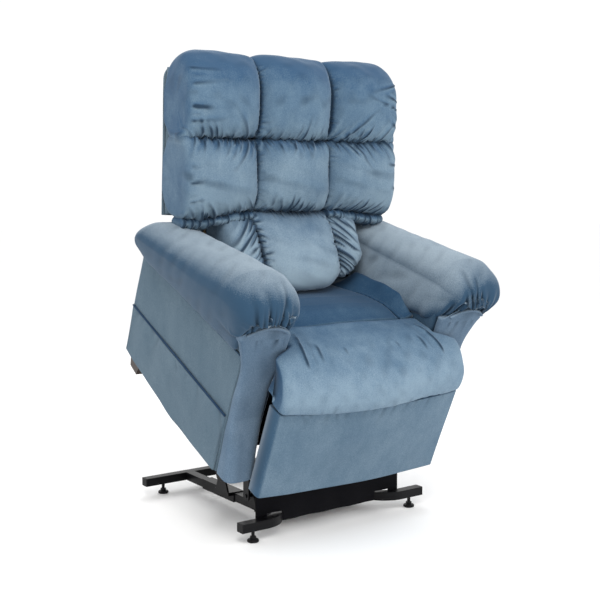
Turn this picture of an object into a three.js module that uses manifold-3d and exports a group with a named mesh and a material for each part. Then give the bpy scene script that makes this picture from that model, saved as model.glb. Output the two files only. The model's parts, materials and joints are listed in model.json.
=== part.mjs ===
// A powered lift recliner chair, standing raised and tilted forward as it is when it helps its user up.
// Millimetres, +Z up. The chair faces -Y and is symmetric about X = 0; left and right are the sitter's.
// The base frame stands on Z = 0. Everything that the lift carries is written in the chair's own frame,
// where the seat is level, and the "chair" group then tilts and raises it.
import * as THREE from "three";
import { mergeVertices } from "three/addons/utils/BufferGeometryUtils.js";
import Module from "manifold-3d";

const wasm = await Module();
wasm.setup();

// ---------- driving dimensions ----------
const GAP = 0.5; // between pieces that touch
const PLAY = 0.6; // radial, round a pivot pin
const SIDE_PLAY = 1.2; // between two link plates
const PIN_R = 6;
const EYE_R = 15; // round end of a link plate

// Tilt and shift when raised; how far back it sits when down.
const LIFT = { tilt: 23.63, y: 26, z: 244, back: 198 };
const BASE = { railX: 170, endX: 329, frontY: -300, rearY: 288, bendR: 80 };
const ORIGIN_Y = 113; // puts the origin under the middle of the raised chair
const TUBE = { w: 30, h: 26, wall: 2, z: 34 }; // base tubes: width, height, wall, underside
const FOOT = { discR: 17, discH: 8, neckR: 9, neckTop: 16, stemR: 5, stemTop: 52, frontX: 290, rearX: 265 };
const CAP = { head: 4, plug: 14, fit: 0.4 };
const CURTAIN = { halfW: 264, y: -275, bottom: 33, top: 224 };

const REAR_PIVOT = { y: 12, z: 112, chairZ: 160 }; // lift arm: base pivot, and its pivot's height in the chair
const FRONT_PIVOT = { y: -160, z: 88, chairZ: 118 }; // front link, likewise
const ARM_X = { in: 207, out: 213 }; // lift arm plates
const LINK_X = { in: 219, out: 225 }; // front link plates
const ARM_W = 40;
const TORQUE = { r: 12, along: 0.86 }; // tube that joins the lift arms, as a share of their length

const FRAME = { x: 252, w: 32, h: 40, z: 140, wall: 2.5, frontY: -262, rearY: 308 }; // seat frame rails
const CROSS = { d: 25, z: 150, frontY: -118 }; // the seat frame's cross tubes
const SIDE = { out: 392, thick: 22, frontY: -282, rearY: 326, bottom: 87, rearRise: 44, kinkY: -25 };
const INNER = { x: 270, thick: 18, rearY: 300, bottom: 150 };
const PAD = { in: 264, out: 464, frontY: -336, rearY: 284, nose: 100, drop: 62 };
const PAD_FRONT = { bottom: 536, top: 700 };
const PAD_REAR = { bottom: 506, top: 594 };
const STILE = { in: 296, front: -306, toe: -344, flareIn: 284, flareOut: 436, neck: 430 }; // front face of an arm
const DECK = { y0: -238, y1: 118, z: 352, thick: 12 };
const SEAT = { halfW: 262, frontY: -200, topZ: 488, rearY: 108, rearZ: 438 };

const BACK = { y: 169, z: 306, lean: 19.5, top: 745 }; // hinge in the chair, lean, frame height along the lean
const POST = { in: 222, out: 250, d: 30 };
const SHELL = { thick: 12, halfW: 372, shoulder: 322, lowHalfW: 246 };
const WIDE = 378; // half width of the upper back cushions
const LUMBAR = { halfW: 252, s0: 108, s1: 336 };
const MIDDLE = { s0: 345, s1: 549 };
const HEAD = { s0: 553, s1: 790 };

// The footrest when closed.
const REST = { halfW: 312, top: 343, bottom: 67, y: -398, bulge: 30, boardD: 18, boardZ: 122 };
const REST_AXIS = { y: -452, z: 494 }; // the line that the footrest swings about
const LINK_A = { y: -260, z: 334, x0: 221, x1: 226 }; // footrest link on the seat frame
const LINK_B = { y: -346, z: 318, x0: 214, x1: 219 }; // footrest link on the footrest
const LINK_W = 26;

const ACTUATOR = {
  tubeR: 16, boreR: 10.5, rodR: 9, gearY: 28, gear: 36, half: 24, motorR: 26, motorL: 105, eyeHalf: 5,
};
const CLEVIS = { in: 10.5, out: 15.5 }; // at a rod's eye
const EARS = { in: 15, out: 21 }; // at a motor's tail

// ---------- materials ----------
const matte = (color, roughness, metalness = 0) =>
  new THREE.MeshStandardMaterial({ color, roughness, metalness });
const velvet = matte(0x5d7c96, 0.8);
const blackSteel = matte(0x17171a, 0.45, 0.6);
const zincSteel = matte(0x9a9ca0, 0.35, 1);
const blackPlastic = matte(0x1b1b1d, 0.6);
const wood = matte(0xa98a63, 0.75);
const darkWood = matte(0x2b2120, 0.55);
const blackCloth = matte(0x0d0d10, 0.95);

// ---------- solids ----------
const X = new THREE.Vector3(1, 0, 0);
const Y = new THREE.Vector3(0, 1, 0);
const Z = new THREE.Vector3(0, 0, 1);
const rad = THREE.MathUtils.degToRad;
const deg = THREE.MathUtils.radToDeg;

function toSolid(geometry) {
  const bare = new THREE.BufferGeometry();
  const source = geometry.index ? geometry.toNonIndexed() : geometry;
  bare.setAttribute("position", source.getAttribute("position").clone());
  const merged = mergeVertices(bare, 1e-3);
  const triVerts = new Uint32Array(merged.index.array);
  return new wasm.Manifold(
    new wasm.Mesh({ numProp: 3, vertProperties: merged.attributes.position.array, triVerts }),
  );
}

function toGeometry(solid) {
  const mesh = solid.getMesh();
  const geometry = new THREE.BufferGeometry();
  geometry.setAttribute("position", new THREE.BufferAttribute(new Float32Array(mesh.vertProperties), 3));
  geometry.setIndex(new THREE.BufferAttribute(new Uint32Array(mesh.triVerts), 1));
  geometry.computeVertexNormals();
  return geometry;
}

const join = (...pieces) => toGeometry(pieces.map(toSolid).reduce((a, b) => a.add(b)));
const common = (a, b) => toGeometry(toSolid(a).intersect(toSolid(b)));
const cut = (piece, ...tools) =>
  toGeometry(tools.map(toSolid).reduce((a, b) => a.subtract(b), toSolid(piece)));

function outline(points) {
  return new THREE.Shape(points.map(([u, v]) => new THREE.Vector2(u, v)));
}

// A shape drawn in the YZ plane, from x0 to x1.
function slabX(shape, x0, x1, options = {}) {
  const settings = { depth: x1 - x0, bevelEnabled: false, curveSegments: 8, ...options };
  const flat = new THREE.ExtrudeGeometry(shape, settings);
  return flat.applyMatrix4(new THREE.Matrix4().makeBasis(Y, Z, X)).translate(x0, 0, 0);
}

// A shape drawn in the XZ plane, from y0 back to y1.
function slabY(shape, y0, y1, options = {}) {
  const settings = { depth: y1 - y0, bevelEnabled: false, curveSegments: 8, ...options };
  const flat = new THREE.ExtrudeGeometry(shape, settings);
  const back = Y.clone().negate();
  return flat.applyMatrix4(new THREE.Matrix4().makeBasis(X, Z, back)).translate(0, y1, 0);
}

// A shape drawn in the XY plane, from z0 up to z1.
function slabZ(shape, z0, z1, options = {}) {
  const settings = { depth: z1 - z0, bevelEnabled: false, curveSegments: 8, ...options };
  const flat = new THREE.ExtrudeGeometry(shape, settings);
  return flat.translate(0, 0, z0);
}

function box(x0, x1, y0, y1, z0, z1) {
  const solid = new THREE.BoxGeometry(x1 - x0, y1 - y0, z1 - z0);
  return solid.translate((x0 + x1) / 2, (y0 + y1) / 2, (z0 + z1) / 2);
}

function rodX(radius, x0, x1, y, z, segments = 20) {
  const turned = new THREE.CylinderGeometry(radius, radius, x1 - x0, segments).rotateZ(Math.PI / 2);
  return turned.translate((x0 + x1) / 2, y, z);
}

function rodY(radius, y0, y1, x, z, segments = 24) {
  return new THREE.CylinderGeometry(radius, radius, y1 - y0, segments).translate(x, (y0 + y1) / 2, z);
}

// A flat link: a plate in the YZ plane between two pivots, with round ends and a hole at each pivot in holes.
function linkPlate(from, to, width, x0, x1, holes = []) {
  const along = Math.atan2(to.z - from.z, to.y - from.y);
  const shape = new THREE.Shape();
  shape.absarc(from.y, from.z, width / 2, along + Math.PI / 2, along + (3 * Math.PI) / 2);
  shape.absarc(to.y, to.z, width / 2, along - Math.PI / 2, along + Math.PI / 2);
  for (const hole of holes) {
    shape.holes.push(new THREE.Path().absarc(hole.y, hole.z, PIN_R + PLAY, 0, 2 * Math.PI, true));
  }
  return slabX(shape, x0, x1);
}

// A plate with a round top that carries a pivot, standing on a foot that runs from y0 to y1 at height z0.
function ear(pivot, y0, y1, z0, x0, x1, holed = false) {
  const shape = new THREE.Shape();
  const down = z0 < pivot.z;
  shape.moveTo(down ? y0 : y1, z0);
  shape.lineTo(down ? y1 : y0, z0);
  shape.absarc(pivot.y, pivot.z, EYE_R, down ? 0 : Math.PI, down ? Math.PI : 2 * Math.PI);
  if (holed) shape.holes.push(new THREE.Path().absarc(pivot.y, pivot.z, PIN_R + PLAY, 0, 2 * Math.PI, true));
  return slabX(shape, x0, x1);
}

// Two such plates, one each side of x, that hold an actuator's eye or tail between them.
function ears(pivot, x, y0, y1, z0, at, holed = false) {
  return [
    ear(pivot, y0, y1, z0, x + at.in, x + at.out, holed),
    ear(pivot, y0, y1, z0, x - at.out, x - at.in, holed),
  ];
}

// ---------- scene graph helpers ----------
function add(parent, name, geometry, material) {
  const mesh = new THREE.Mesh(geometry, material);
  mesh.name = name;
  parent.add(mesh);
  return mesh;
}

// The same piece on both sides: drawn for +X, the sitter's left, and mirrored for the right.
function addPair(parent, name, geometry, material) {
  add(parent, `${name}_left`, geometry, material);
  add(parent, `${name}_right`, geometry, material).scale.x = -1;
}

const root = new THREE.Group();
const base = new THREE.Group();
const chair = new THREE.Group();
const backrest = new THREE.Group();
root.add(base, chair);
chair.add(backrest);
chair.rotation.x = rad(LIFT.tilt);
base.position.y = ORIGIN_Y;
chair.position.set(0, LIFT.y + ORIGIN_Y, LIFT.z);
backrest.rotation.x = -rad(BACK.lean);
backrest.position.set(0, BACK.y, BACK.z);

// ---------- lift geometry ----------
const [tiltC, tiltS] = [Math.cos(rad(LIFT.tilt)), Math.sin(rad(LIFT.tilt))];
const [leanC, leanS] = [Math.cos(rad(BACK.lean)), Math.sin(rad(BACK.lean))];

// Where a point of the chair is when raised, and when it sits down on its base.
const raised = ({ y, z }) => ({ y: y * tiltC - z * tiltS + LIFT.y, z: y * tiltS + z * tiltC + LIFT.z });
const seated = ({ y, z }) => ({ y: y + LIFT.back, z });
const distance = (a, b) => Math.hypot(a.y - b.y, a.z - b.z);
const bearing = (a, b) => deg(Math.atan2(b.z - a.z, b.y - a.y));
const fromBack = (y, z) => ({ y: BACK.y + y * leanC + z * leanS, z: BACK.z - y * leanS + z * leanC });

// A link has one length, so its chair pivot is as far from its base pivot raised as it is seated.
// At a given height in the chair that leaves one place for it, the root of a linear equation.
function chairPivot({ y: by, z: bz, chairZ: z }) {
  const ry = LIFT.y - z * tiltS - by;
  const rz = LIFT.z + z * tiltC - bz;
  const sy = LIFT.back - by;
  const slope = 2 * (sy - tiltC * ry - tiltS * rz);
  return { y: (ry * ry + rz * rz - sy * sy - (z - bz) ** 2) / slope, z };
}

const armTop = chairPivot(REAR_PIVOT);
const linkTop = chairPivot(FRONT_PIVOT);

// ---------- base frame ----------
// Side tube: runs forward from the rear cross tube and bends outward into the front leg.
function sideTubePlan(inset) {
  const { railX, endX, frontY, rearY, bendR } = BASE;
  const half = TUBE.w / 2 - inset;
  const centreX = railX + bendR;
  const centreY = frontY + bendR;
  const rear = rearY - TUBE.w / 2 - GAP + (inset ? 5 : 0);
  const end = endX + (inset ? 5 : 0);
  const plan = new THREE.Shape();
  plan.moveTo(railX - half, rear);
  plan.lineTo(railX - half, centreY);
  plan.absarc(centreX, centreY, bendR + half, Math.PI, 1.5 * Math.PI);
  plan.lineTo(end, frontY - half);
  plan.lineTo(end, frontY + half);
  plan.absarc(centreX, centreY, bendR - half, 1.5 * Math.PI, Math.PI, true);
  plan.lineTo(railX + half, rear);
  return plan;
}

const tubeTop = TUBE.z + TUBE.h;
const stemHole = (x, y) =>
  new THREE.CylinderGeometry(FOOT.stemR + PLAY, FOOT.stemR + PLAY, 2 * TUBE.wall + 2, 20)
    .rotateX(Math.PI / 2)
    .translate(x, y, TUBE.z);

function sideTube() {
  const outer = slabZ(sideTubePlan(0), TUBE.z, tubeTop);
  const inner = slabZ(sideTubePlan(TUBE.wall), TUBE.z + TUBE.wall, tubeTop - TUBE.wall);
  return cut(outer, inner, stemHole(FOOT.frontX, BASE.frontY));
}

// Saddle over the side tube from y0 to y1, with a link's pivot plate and pin on its outer side.
function linkBracket(pivot, lane, y0, y1) {
  const half = TUBE.w / 2;
  const wall = 3;
  const skin = box(BASE.railX - half - wall, BASE.railX + half + wall, y0, y1, TUBE.z - wall, tubeTop + wall);
  const plateOut = ARM_X.in - SIDE_PLAY;
  const [near, far] = [Math.max(y0, pivot.y - 40), Math.min(y1, pivot.y + 40)];
  const flange = box(BASE.railX, plateOut, near, far, tubeTop - 8, tubeTop + wall);
  const plate = ear(pivot, near, far, tubeTop - 8, plateOut - 6, plateOut);
  const pin = rodX(PIN_R, plateOut - 1, lane.out + 3, pivot.y, pivot.z);
  const room = half + GAP;
  const tubeSpace = box(BASE.railX - room, BASE.railX + room, y0 - 1, y1 + 1, TUBE.z - GAP, tubeTop + GAP);
  return cut(join(skin, flange, plate, pin), tubeSpace);
}

// Pivots of the lift actuator: on a beam between the side tubes, and on the seat frame's front cross tube.
const LIFT_MOTOR = { y: -128, z: 99 };
const LIFT_ROD = { y: -140, z: 198 };

function rearTube() {
  const [y0, y1] = [BASE.rearY - TUBE.w / 2, BASE.rearY + TUBE.w / 2];
  const section = (inset, reach) =>
    box(-BASE.endX - reach, BASE.endX + reach, y0 + inset, y1 - inset, TUBE.z + inset, tubeTop - inset);
  const stems = [stemHole(FOOT.rearX, BASE.rearY), stemHole(-FOOT.rearX, BASE.rearY)];
  return cut(section(0, 0), section(TUBE.wall, 5), ...stems);
}

// Square tube between the side tubes, with two plates that hold the lift actuator's tail.
function motorBeam() {
  const half = TUBE.w / 2;
  const reach = BASE.railX - half - GAP;
  const [y0, y1] = [LIFT_MOTOR.y - half, LIFT_MOTOR.y + half];
  const wall = TUBE.wall;
  const bore = box(-reach - 5, reach + 5, y0 + wall, y1 - wall, TUBE.z + wall, tubeTop - wall);
  const beam = cut(box(-reach, reach, y0, y1, TUBE.z, tubeTop), bore);
  return join(beam, ...ears(LIFT_MOTOR, 0, y0 + 2, y1 - 2, tubeTop - 1, EARS, true));
}

function levellingFoot() {
  const { discR, discH, neckR, neckTop, stemR, stemTop } = FOOT;
  const profile = [[0, 0], [discR - 2, 0], [discR, 2], [discR, discH - 2], [discR - 2, discH], [neckR, discH],
    [neckR, neckTop], [stemR, neckTop], [stemR, stemTop], [0, stemTop]];
  return new THREE.LatheGeometry(profile.map(([r, z]) => new THREE.Vector2(r, z)), 20).rotateX(Math.PI / 2);
}

function endCap() {
  const plugW = TUBE.w / 2 - TUBE.wall - CAP.fit;
  const plugH = TUBE.h / 2 - TUBE.wall - CAP.fit;
  const head = box(0, CAP.head, -TUBE.w / 2, TUBE.w / 2, -TUBE.h / 2, TUBE.h / 2);
  const plug = box(-CAP.plug, 1, -plugW, plugW, -plugH, plugH);
  return join(head, plug).translate(BASE.endX + GAP, 0, TUBE.z + TUBE.h / 2);
}

addPair(base, "base_side_tube", sideTube(), blackSteel);
add(base, "base_rear_tube", rearTube(), blackSteel);
const armBracket = linkBracket(REAR_PIVOT, ARM_X, REAR_PIVOT.y - 42, REAR_PIVOT.y + 150);
addPair(base, "lift_arm_bracket", armBracket, blackSteel);
const frontBracket = linkBracket(FRONT_PIVOT, LINK_X, FRONT_PIVOT.y - 24, FRONT_PIVOT.y + 12);
addPair(base, "front_link_bracket", frontBracket, blackSteel);
add(base, "lift_motor_beam", motorBeam(), blackSteel);
addPair(base, "front_end_cap", endCap().translate(0, BASE.frontY, 0), blackPlastic);
addPair(base, "rear_end_cap", endCap().translate(0, BASE.rearY, 0), blackPlastic);
addPair(base, "front_levelling_foot", levellingFoot().translate(FOOT.frontX, BASE.frontY, 0), blackPlastic);
addPair(base, "rear_levelling_foot", levellingFoot().translate(FOOT.rearX, BASE.rearY, 0), blackPlastic);

// Black cloth curtain that hangs between the seat frame and the base and hides the mechanism.
function curtain() {
  const inner = BASE.railX - TUBE.w / 2 - 6;
  const outer = BASE.railX + TUBE.w / 2 + 36;
  const notch = (x0, x1) => box(x0, x1, CURTAIN.y - 20, CURTAIN.y + 20, 0, tubeTop + 4);
  const sheet = box(-CURTAIN.halfW, CURTAIN.halfW, CURTAIN.y, CURTAIN.y + 3, CURTAIN.bottom, CURTAIN.top);
  return cut(sheet, notch(inner, outer), notch(-outer, -inner));
}
add(base, "front_curtain", curtain(), blackCloth);

// ---------- lift linkage ----------
const armTopRaised = raised(armTop);
const linkTopRaised = raised(linkTop);

addPair(base, "lift_arm",
  linkPlate(REAR_PIVOT, armTopRaised, ARM_W, ARM_X.in, ARM_X.out, [REAR_PIVOT, armTopRaised]), blackSteel);
addPair(base, "front_link",
  linkPlate(FRONT_PIVOT, linkTopRaised, 2 * EYE_R, LINK_X.in, LINK_X.out, [FRONT_PIVOT]), blackSteel);

const torqueAt = {
  y: REAR_PIVOT.y + TORQUE.along * (armTopRaised.y - REAR_PIVOT.y),
  z: REAR_PIVOT.z + TORQUE.along * (armTopRaised.z - REAR_PIVOT.z),
};
const torqueHalf = ARM_X.in - GAP;
add(base, "lift_torque_tube", rodX(TORQUE.r, -torqueHalf, torqueHalf, torqueAt.y, torqueAt.z), blackSteel);

// Linear actuator from a rear pivot to the eye of its rod. The motor lies beside the tube on the given side.
function actuator(parent, name, from, to, x, tubeLength, rodLength, side) {
  const length = distance(from, to);
  const { tubeR, boreR, rodR, gearY, gear, half, motorR, motorL, eyeHalf } = ACTUATOR;
  const gearbox = box(-half, half, gearY, gearY + gear, -half, half);
  const tail = box(-EARS.in + 4, EARS.in - 4, -10, gearY + 1, -10, 10);
  const pin = rodX(5, -EARS.out - 3, EARS.out + 3, 0, 0);
  const tube = rodY(tubeR, gearY + gear - 1, tubeLength, 0, 0);
  const motor = rodY(motorR, gearY + 2, gearY + 2 + motorL, side * (half + motorR - 8), 0);
  const housing = cut(join(gearbox, tail, pin, tube, motor), rodY(boreR, gearY + gear, tubeLength + 1, 0, 0));
  const bar = rodY(rodR, length - rodLength, length - 14, 0, 0, 16);
  const eye = linkPlate({ y: length - 16, z: 0 }, { y: length, z: 0 }, 24, -eyeHalf, eyeHalf);
  const rodPin = rodX(5, -CLEVIS.in + 1, CLEVIS.in - 1, length, 0);
  const holder = new THREE.Group();
  holder.position.set(x, from.y, from.z);
  holder.rotation.x = rad(bearing(from, to));
  parent.add(holder);
  add(holder, `${name}_motor`, housing, blackPlastic);
  add(holder, `${name}_rod`, join(bar, eye, rodPin), zincSteel);
}

actuator(base, "lift_actuator", LIFT_MOTOR, raised(LIFT_ROD), 0, 181, 125, 1);

// ---------- seat frame ----------
const frameTop = FRAME.z + FRAME.h;
const RECLINE_MOTOR = { y: -122, z: 206, x: 78 };
const REST_MOTOR = { y: 280, z: 208, x: -78 };

function frameRail() {
  const x0 = FRAME.x - FRAME.w / 2;
  const x1 = FRAME.x + FRAME.w / 2;
  const bar = box(x0, x1, FRAME.frontY, FRAME.rearY, FRAME.z, frameTop);
  const bore = box(x0 + FRAME.wall, x1 - FRAME.wall, FRAME.frontY - 5, FRAME.rearY + 5,
    FRAME.z + FRAME.wall, frameTop - FRAME.wall);
  const armBoss = rodX(12, ARM_X.out + SIDE_PLAY, x0 + 1, armTop.y, armTop.z);
  const armPin = rodX(PIN_R, ARM_X.in - 3, x0, armTop.y, armTop.z);
  const linkPlateTop = ear(linkTop, linkTop.y - 25, linkTop.y + 25, FRAME.z + 1, x0, x0 + 7);
  const linkBoss = rodX(12, LINK_X.out + SIDE_PLAY, x0 + 1, linkTop.y, linkTop.z);
  const restPlate = ear(LINK_A, FRAME.frontY, FRAME.frontY + 58, frameTop - 1, x0, x0 + 7);
  const restPin = rodX(PIN_R, LINK_A.x0 - 1, x0 + 1, LINK_A.y, LINK_A.z);
  const plateX = POST.out + SIDE_PLAY;
  const backPlate = ear(BACK, BACK.y - 40, BACK.y + 40, frameTop - 5, plateX, plateX + 6);
  const backPin = rodX(PIN_R, POST.in + 8, POST.out + 4, BACK.y, BACK.z);
  return join(cut(bar, bore), armBoss, armPin, linkPlateTop, linkBoss, restPlate, restPin, backPlate, backPin);
}

const crossHalf = FRAME.x - FRAME.w / 2 - GAP;

// Square tube across the seat frame, open at both ends.
function crossTube(y0) {
  const inset = FRAME.wall;
  const reach = crossHalf + 5;
  const bore = box(-reach, reach, y0 + inset, y0 + CROSS.d - inset, CROSS.z + inset, frameTop - inset);
  return cut(box(-crossHalf, crossHalf, y0, y0 + CROSS.d, CROSS.z, frameTop), bore);
}

function frontCross() {
  const [y0, y1] = [CROSS.frontY + 2, CROSS.frontY + CROSS.d - 2];
  const liftEyes = ears(LIFT_ROD, 0, y0, y1, frameTop - 1, CLEVIS);
  const reclineEyes = ears(RECLINE_MOTOR, RECLINE_MOTOR.x, y0, y1, frameTop - 1, EARS, true);
  return join(crossTube(CROSS.frontY), ...liftEyes, ...reclineEyes);
}

function rearCross() {
  const y0 = FRAME.rearY - CROSS.d;
  const clevis = ears(REST_MOTOR, REST_MOTOR.x, y0 + 2, FRAME.rearY - 2, frameTop - 1, EARS, true);
  return join(crossTube(y0), ...clevis);
}

addPair(chair, "seat_frame_rail", frameRail(), blackSteel);
add(chair, "seat_frame_front_tube", frontCross(), blackSteel);
add(chair, "seat_frame_rear_tube", rearCross(), blackSteel);

// ---------- body ----------
const padZ = (y, key) => {
  const t = (y - PAD.frontY) / (PAD.rearY - PAD.frontY);
  const nose = key === "top" ? Math.max(0, 1 - (y - PAD.frontY) / PAD.nose) : 0;
  return PAD_FRONT[key] + t * (PAD_REAR[key] - PAD_FRONT[key]) - PAD.drop * nose * nose;
};
const underPad = (y) => padZ(y, "bottom") - GAP;

function sidePanel() {
  const { frontY, rearY, bottom, rearRise, kinkY, out, thick } = SIDE;
  const shape = outline([[frontY, bottom], [kinkY, bottom], [rearY, bottom + rearRise], [rearY, 455],
    [PAD.rearY, underPad(PAD.rearY)], [frontY, underPad(frontY)]]);
  return slabX(shape, out - thick, out);
}

function innerPanel() {
  const { x, thick, rearY, bottom } = INNER;
  const shape = outline([
    [SIDE.frontY, bottom], [rearY, bottom], [rearY, 440],
    [PAD.rearY, underPad(PAD.rearY)], [SIDE.frontY, underPad(SIDE.frontY)],
  ]);
  return slabX(shape, x, x + thick);
}

function armStile() {
  const top = underPad(SIDE.frontY);
  const shape = outline([
    [STILE.in, SIDE.bottom], [SIDE.out - 4, SIDE.bottom], [SIDE.out + 2, STILE.neck],
    [STILE.flareOut, top], [STILE.flareIn, top], [STILE.in - 2, STILE.neck],
  ]);
  const rear = SIDE.frontY - GAP;
  const profile = outline([
    [rear, SIDE.bottom - 1], [rear, top + 60], [STILE.front, top + 60],
    [STILE.front, 272], [STILE.toe, SIDE.bottom - 1],
  ]);
  return common(slabY(shape, STILE.toe - 1, rear + 1), slabX(profile, 200, PAD.out));
}

// Rolled arm pad: a rounded bar that follows the arm, higher at the front and turned down at its nose.
function armPad() {
  const bevel = 30;
  const half = { x: (PAD.out - PAD.in) / 2 - bevel, z: 50 };
  const corner = 30;
  const steps = 3;
  const points = [0, 1, 2, 3].flatMap((quarter) => {
    const [sx, sz] = [quarter === 0 || quarter === 3 ? 1 : -1, quarter < 2 ? 1 : -1];
    return Array.from({ length: steps + 1 }, (_, k) => {
      const a = (quarter + k / steps) * (Math.PI / 2);
      return [sx * (half.x - corner) + corner * Math.cos(a), sz * (half.z - corner) + corner * Math.sin(a)];
    });
  });
  const bar = slabY(outline(points), PAD.frontY + bevel, PAD.rearY - bevel,
    { steps: 6, bevelEnabled: true, bevelSize: bevel, bevelThickness: bevel, bevelSegments: 3 });
  const p = bar.getAttribute("position");
  const full = half.z + bevel;
  for (let i = 0; i < p.count; i += 1) {
    const y = p.getY(i);
    const t = (p.getZ(i) / full + 1) / 2;
    const low = padZ(y, "bottom");
    p.setXYZ(i, p.getX(i) + (PAD.in + PAD.out) / 2, y, low + t * (padZ(y, "top") - low));
  }
  return bar;
}

function rearFoot() {
  return slabX(outline([[246, 82], [292, 90], [300, 126], [238, 117]]), 352, 388);
}

// Open-topped storage pocket on the sitter's right, lying flat against the side panel.
function pocket() {
  const { frontY, rearY, bottom, rearRise, kinkY, out } = SIDE;
  const shape = outline([[frontY + 4, bottom + 4], [kinkY, bottom + 4], [rearY - 4, bottom + rearRise + 3],
    [rearY - 4, 290], [frontY + 4, 270]]);
  return slabX(shape, -out - GAP - 5, -out - GAP);
}

addPair(chair, "side_panel", sidePanel(), velvet);
addPair(chair, "inner_arm_panel", innerPanel(), velvet);
addPair(chair, "arm_front_panel", armStile(), velvet);
addPair(chair, "arm_pad", armPad(), velvet);
addPair(chair, "rear_foot", rearFoot(), darkWood);
add(chair, "side_pocket_right", pocket(), velvet);
add(chair, "rear_cover_panel", box(-368, 368, 312, 324, 140, 288), velvet);
add(chair, "seat_deck", box(-INNER.x + 1, INNER.x - 1, DECK.y0, DECK.y1, DECK.z, DECK.z + DECK.thick), wood);
add(chair, "control_box", box(-60, 60, 10, 90, DECK.z - 36, DECK.z - 1), blackPlastic);

function seatCushion() {
  const bottom = DECK.z + DECK.thick + 1;
  const shape = outline([[SEAT.frontY, bottom], [SEAT.rearY, bottom], [SEAT.rearY, SEAT.rearZ],
    [-48, SEAT.topZ - 8], [-110, SEAT.topZ], [SEAT.frontY, SEAT.topZ]]);
  return slabX(shape, -SEAT.halfW, SEAT.halfW);
}
add(chair, "seat_cushion", seatCushion(), velvet);

// Padded roll that bridges the seat and the footrest: narrow between the arms, wide in front of them.
function chaisePad() {
  const [top, radius] = [SEAT.topZ + 4, 112];
  const roll = (y0, x) => {
    const shape = new THREE.Shape();
    shape.moveTo(y0, 372);
    if (y0 > -298) shape.lineTo(y0, top);
    const start = y0 > -298 ? Math.PI / 2 : Math.acos((y0 + 298) / radius);
    shape.absarc(-298, top - radius, radius, start, Math.PI);
    shape.lineTo(-298 - radius, REST.top + 3);
    shape.lineTo(-366, REST.top + 3);
    shape.lineTo(-366, 372);
    return slabX(shape, -x, x);
  };
  return join(roll(SEAT.frontY - 1, SEAT.halfW), roll(STILE.front - 3, 322));
}
add(chair, "chaise_pad", chaisePad(), velvet);

// ---------- footrest ----------
function footrestBoard() {
  const rear = REST.y + 14 + REST.boardD;
  const board = box(-REST.halfW + 16, REST.halfW - 16, REST.y + 14, rear, REST.boardZ, REST.top - 8);
  const lugEnd = { y: rear - 17 + LINK_W / 2, z: LINK_B.z - 6 };
  const lugs = [1, -1].flatMap((side) => {
    const [near, far] = [side * (LINK_B.x0 - 6), side * (LINK_B.x0 - 1)];
    const tip = side * (LINK_B.x1 + 1);
    return [
      linkPlate(lugEnd, LINK_B, LINK_W, Math.min(near, far), Math.max(near, far)),
      rodX(PIN_R, Math.min(near, tip), Math.max(near, tip), LINK_B.y, LINK_B.z),
    ];
  });
  return join(board, ...lugs);
}

function footrestPad() {
  const side = REST.halfW;
  const front = new THREE.Shape();
  front.moveTo(-side, REST.y + 13);
  front.lineTo(-side, REST.y - 2);
  front.quadraticCurveTo(0, REST.y - 2 * REST.bulge, side, REST.y - 2);
  front.lineTo(side, REST.y + 13);
  return slabZ(front, REST.bottom, REST.top, { curveSegments: 10 });
}

// The links make a parallelogram with the swing line: A keeps parallel to the footrest's turn, B to the chair.
const restElbow = { y: LINK_A.y + LINK_B.y - REST_AXIS.y, z: LINK_A.z + LINK_B.z - REST_AXIS.z };
const LEVER = { tube: 35, eye: 90 }; // how far down the upper links the lever tube and the actuator's eye are
const linkLength = distance(LINK_A, restElbow);
const onUpperLink = (along) => ({
  y: LINK_A.y + ((restElbow.y - LINK_A.y) * along) / linkLength,
  z: LINK_A.z + ((restElbow.z - LINK_A.z) * along) / linkLength,
});
const restLever = onUpperLink(LEVER.eye);

function leverTube() {
  const axis = onUpperLink(LEVER.tube);
  const tube = rodX(9, -LINK_A.x0 + GAP, LINK_A.x0 - GAP, axis.y, axis.z);
  return join(tube, ...ears(restLever, REST_MOTOR.x, axis.y - 8, axis.y + 8, axis.z + 2, CLEVIS));
}

add(chair, "footrest_board", footrestBoard(), wood);
add(chair, "footrest_pad", footrestPad(), velvet);
addPair(chair, "footrest_upper_link",
  linkPlate(LINK_A, restElbow, LINK_W, LINK_A.x0, LINK_A.x1, [LINK_A, restElbow]), blackSteel);
addPair(chair, "footrest_lower_link", join(
  linkPlate(LINK_B, restElbow, LINK_W, LINK_B.x0, LINK_B.x1, [LINK_B]),
  rodX(PIN_R, LINK_B.x0 + 1, LINK_A.x1 + 1, restElbow.y, restElbow.z)), blackSteel);
add(chair, "footrest_lever_tube", leverTube(), blackSteel);
actuator(chair, "footrest_actuator", REST_MOTOR, restLever, REST_MOTOR.x, 360, 310, -1);

// ---------- backrest, in its own frame: Z' up along the lean, -Y' to the front ----------
const RECLINE_LEVER = { y: 70, z: -86 };
const half = POST.d / 2;

function backFrame() {
  const posts = [1, -1].map((side) =>
    box(side < 0 ? -POST.out : POST.in, side < 0 ? -POST.in : POST.out, -half, half, -22, BACK.top));
  const bars = [[14, 44], [330, 360], [BACK.top - 34, BACK.top]].map(([z0, z1]) =>
    box(-POST.in - 1, POST.in + 1, -half + 2, half - 2, z0, z1));
  const lever = ears(RECLINE_LEVER, RECLINE_MOTOR.x, -half + 3, half - 3, 24, CLEVIS);
  const hole = rodX(PIN_R + PLAY, -POST.out - 1, POST.out + 1, 0, 0);
  return cut(join(...posts, ...bars, ...lever), hole);
}

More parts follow.
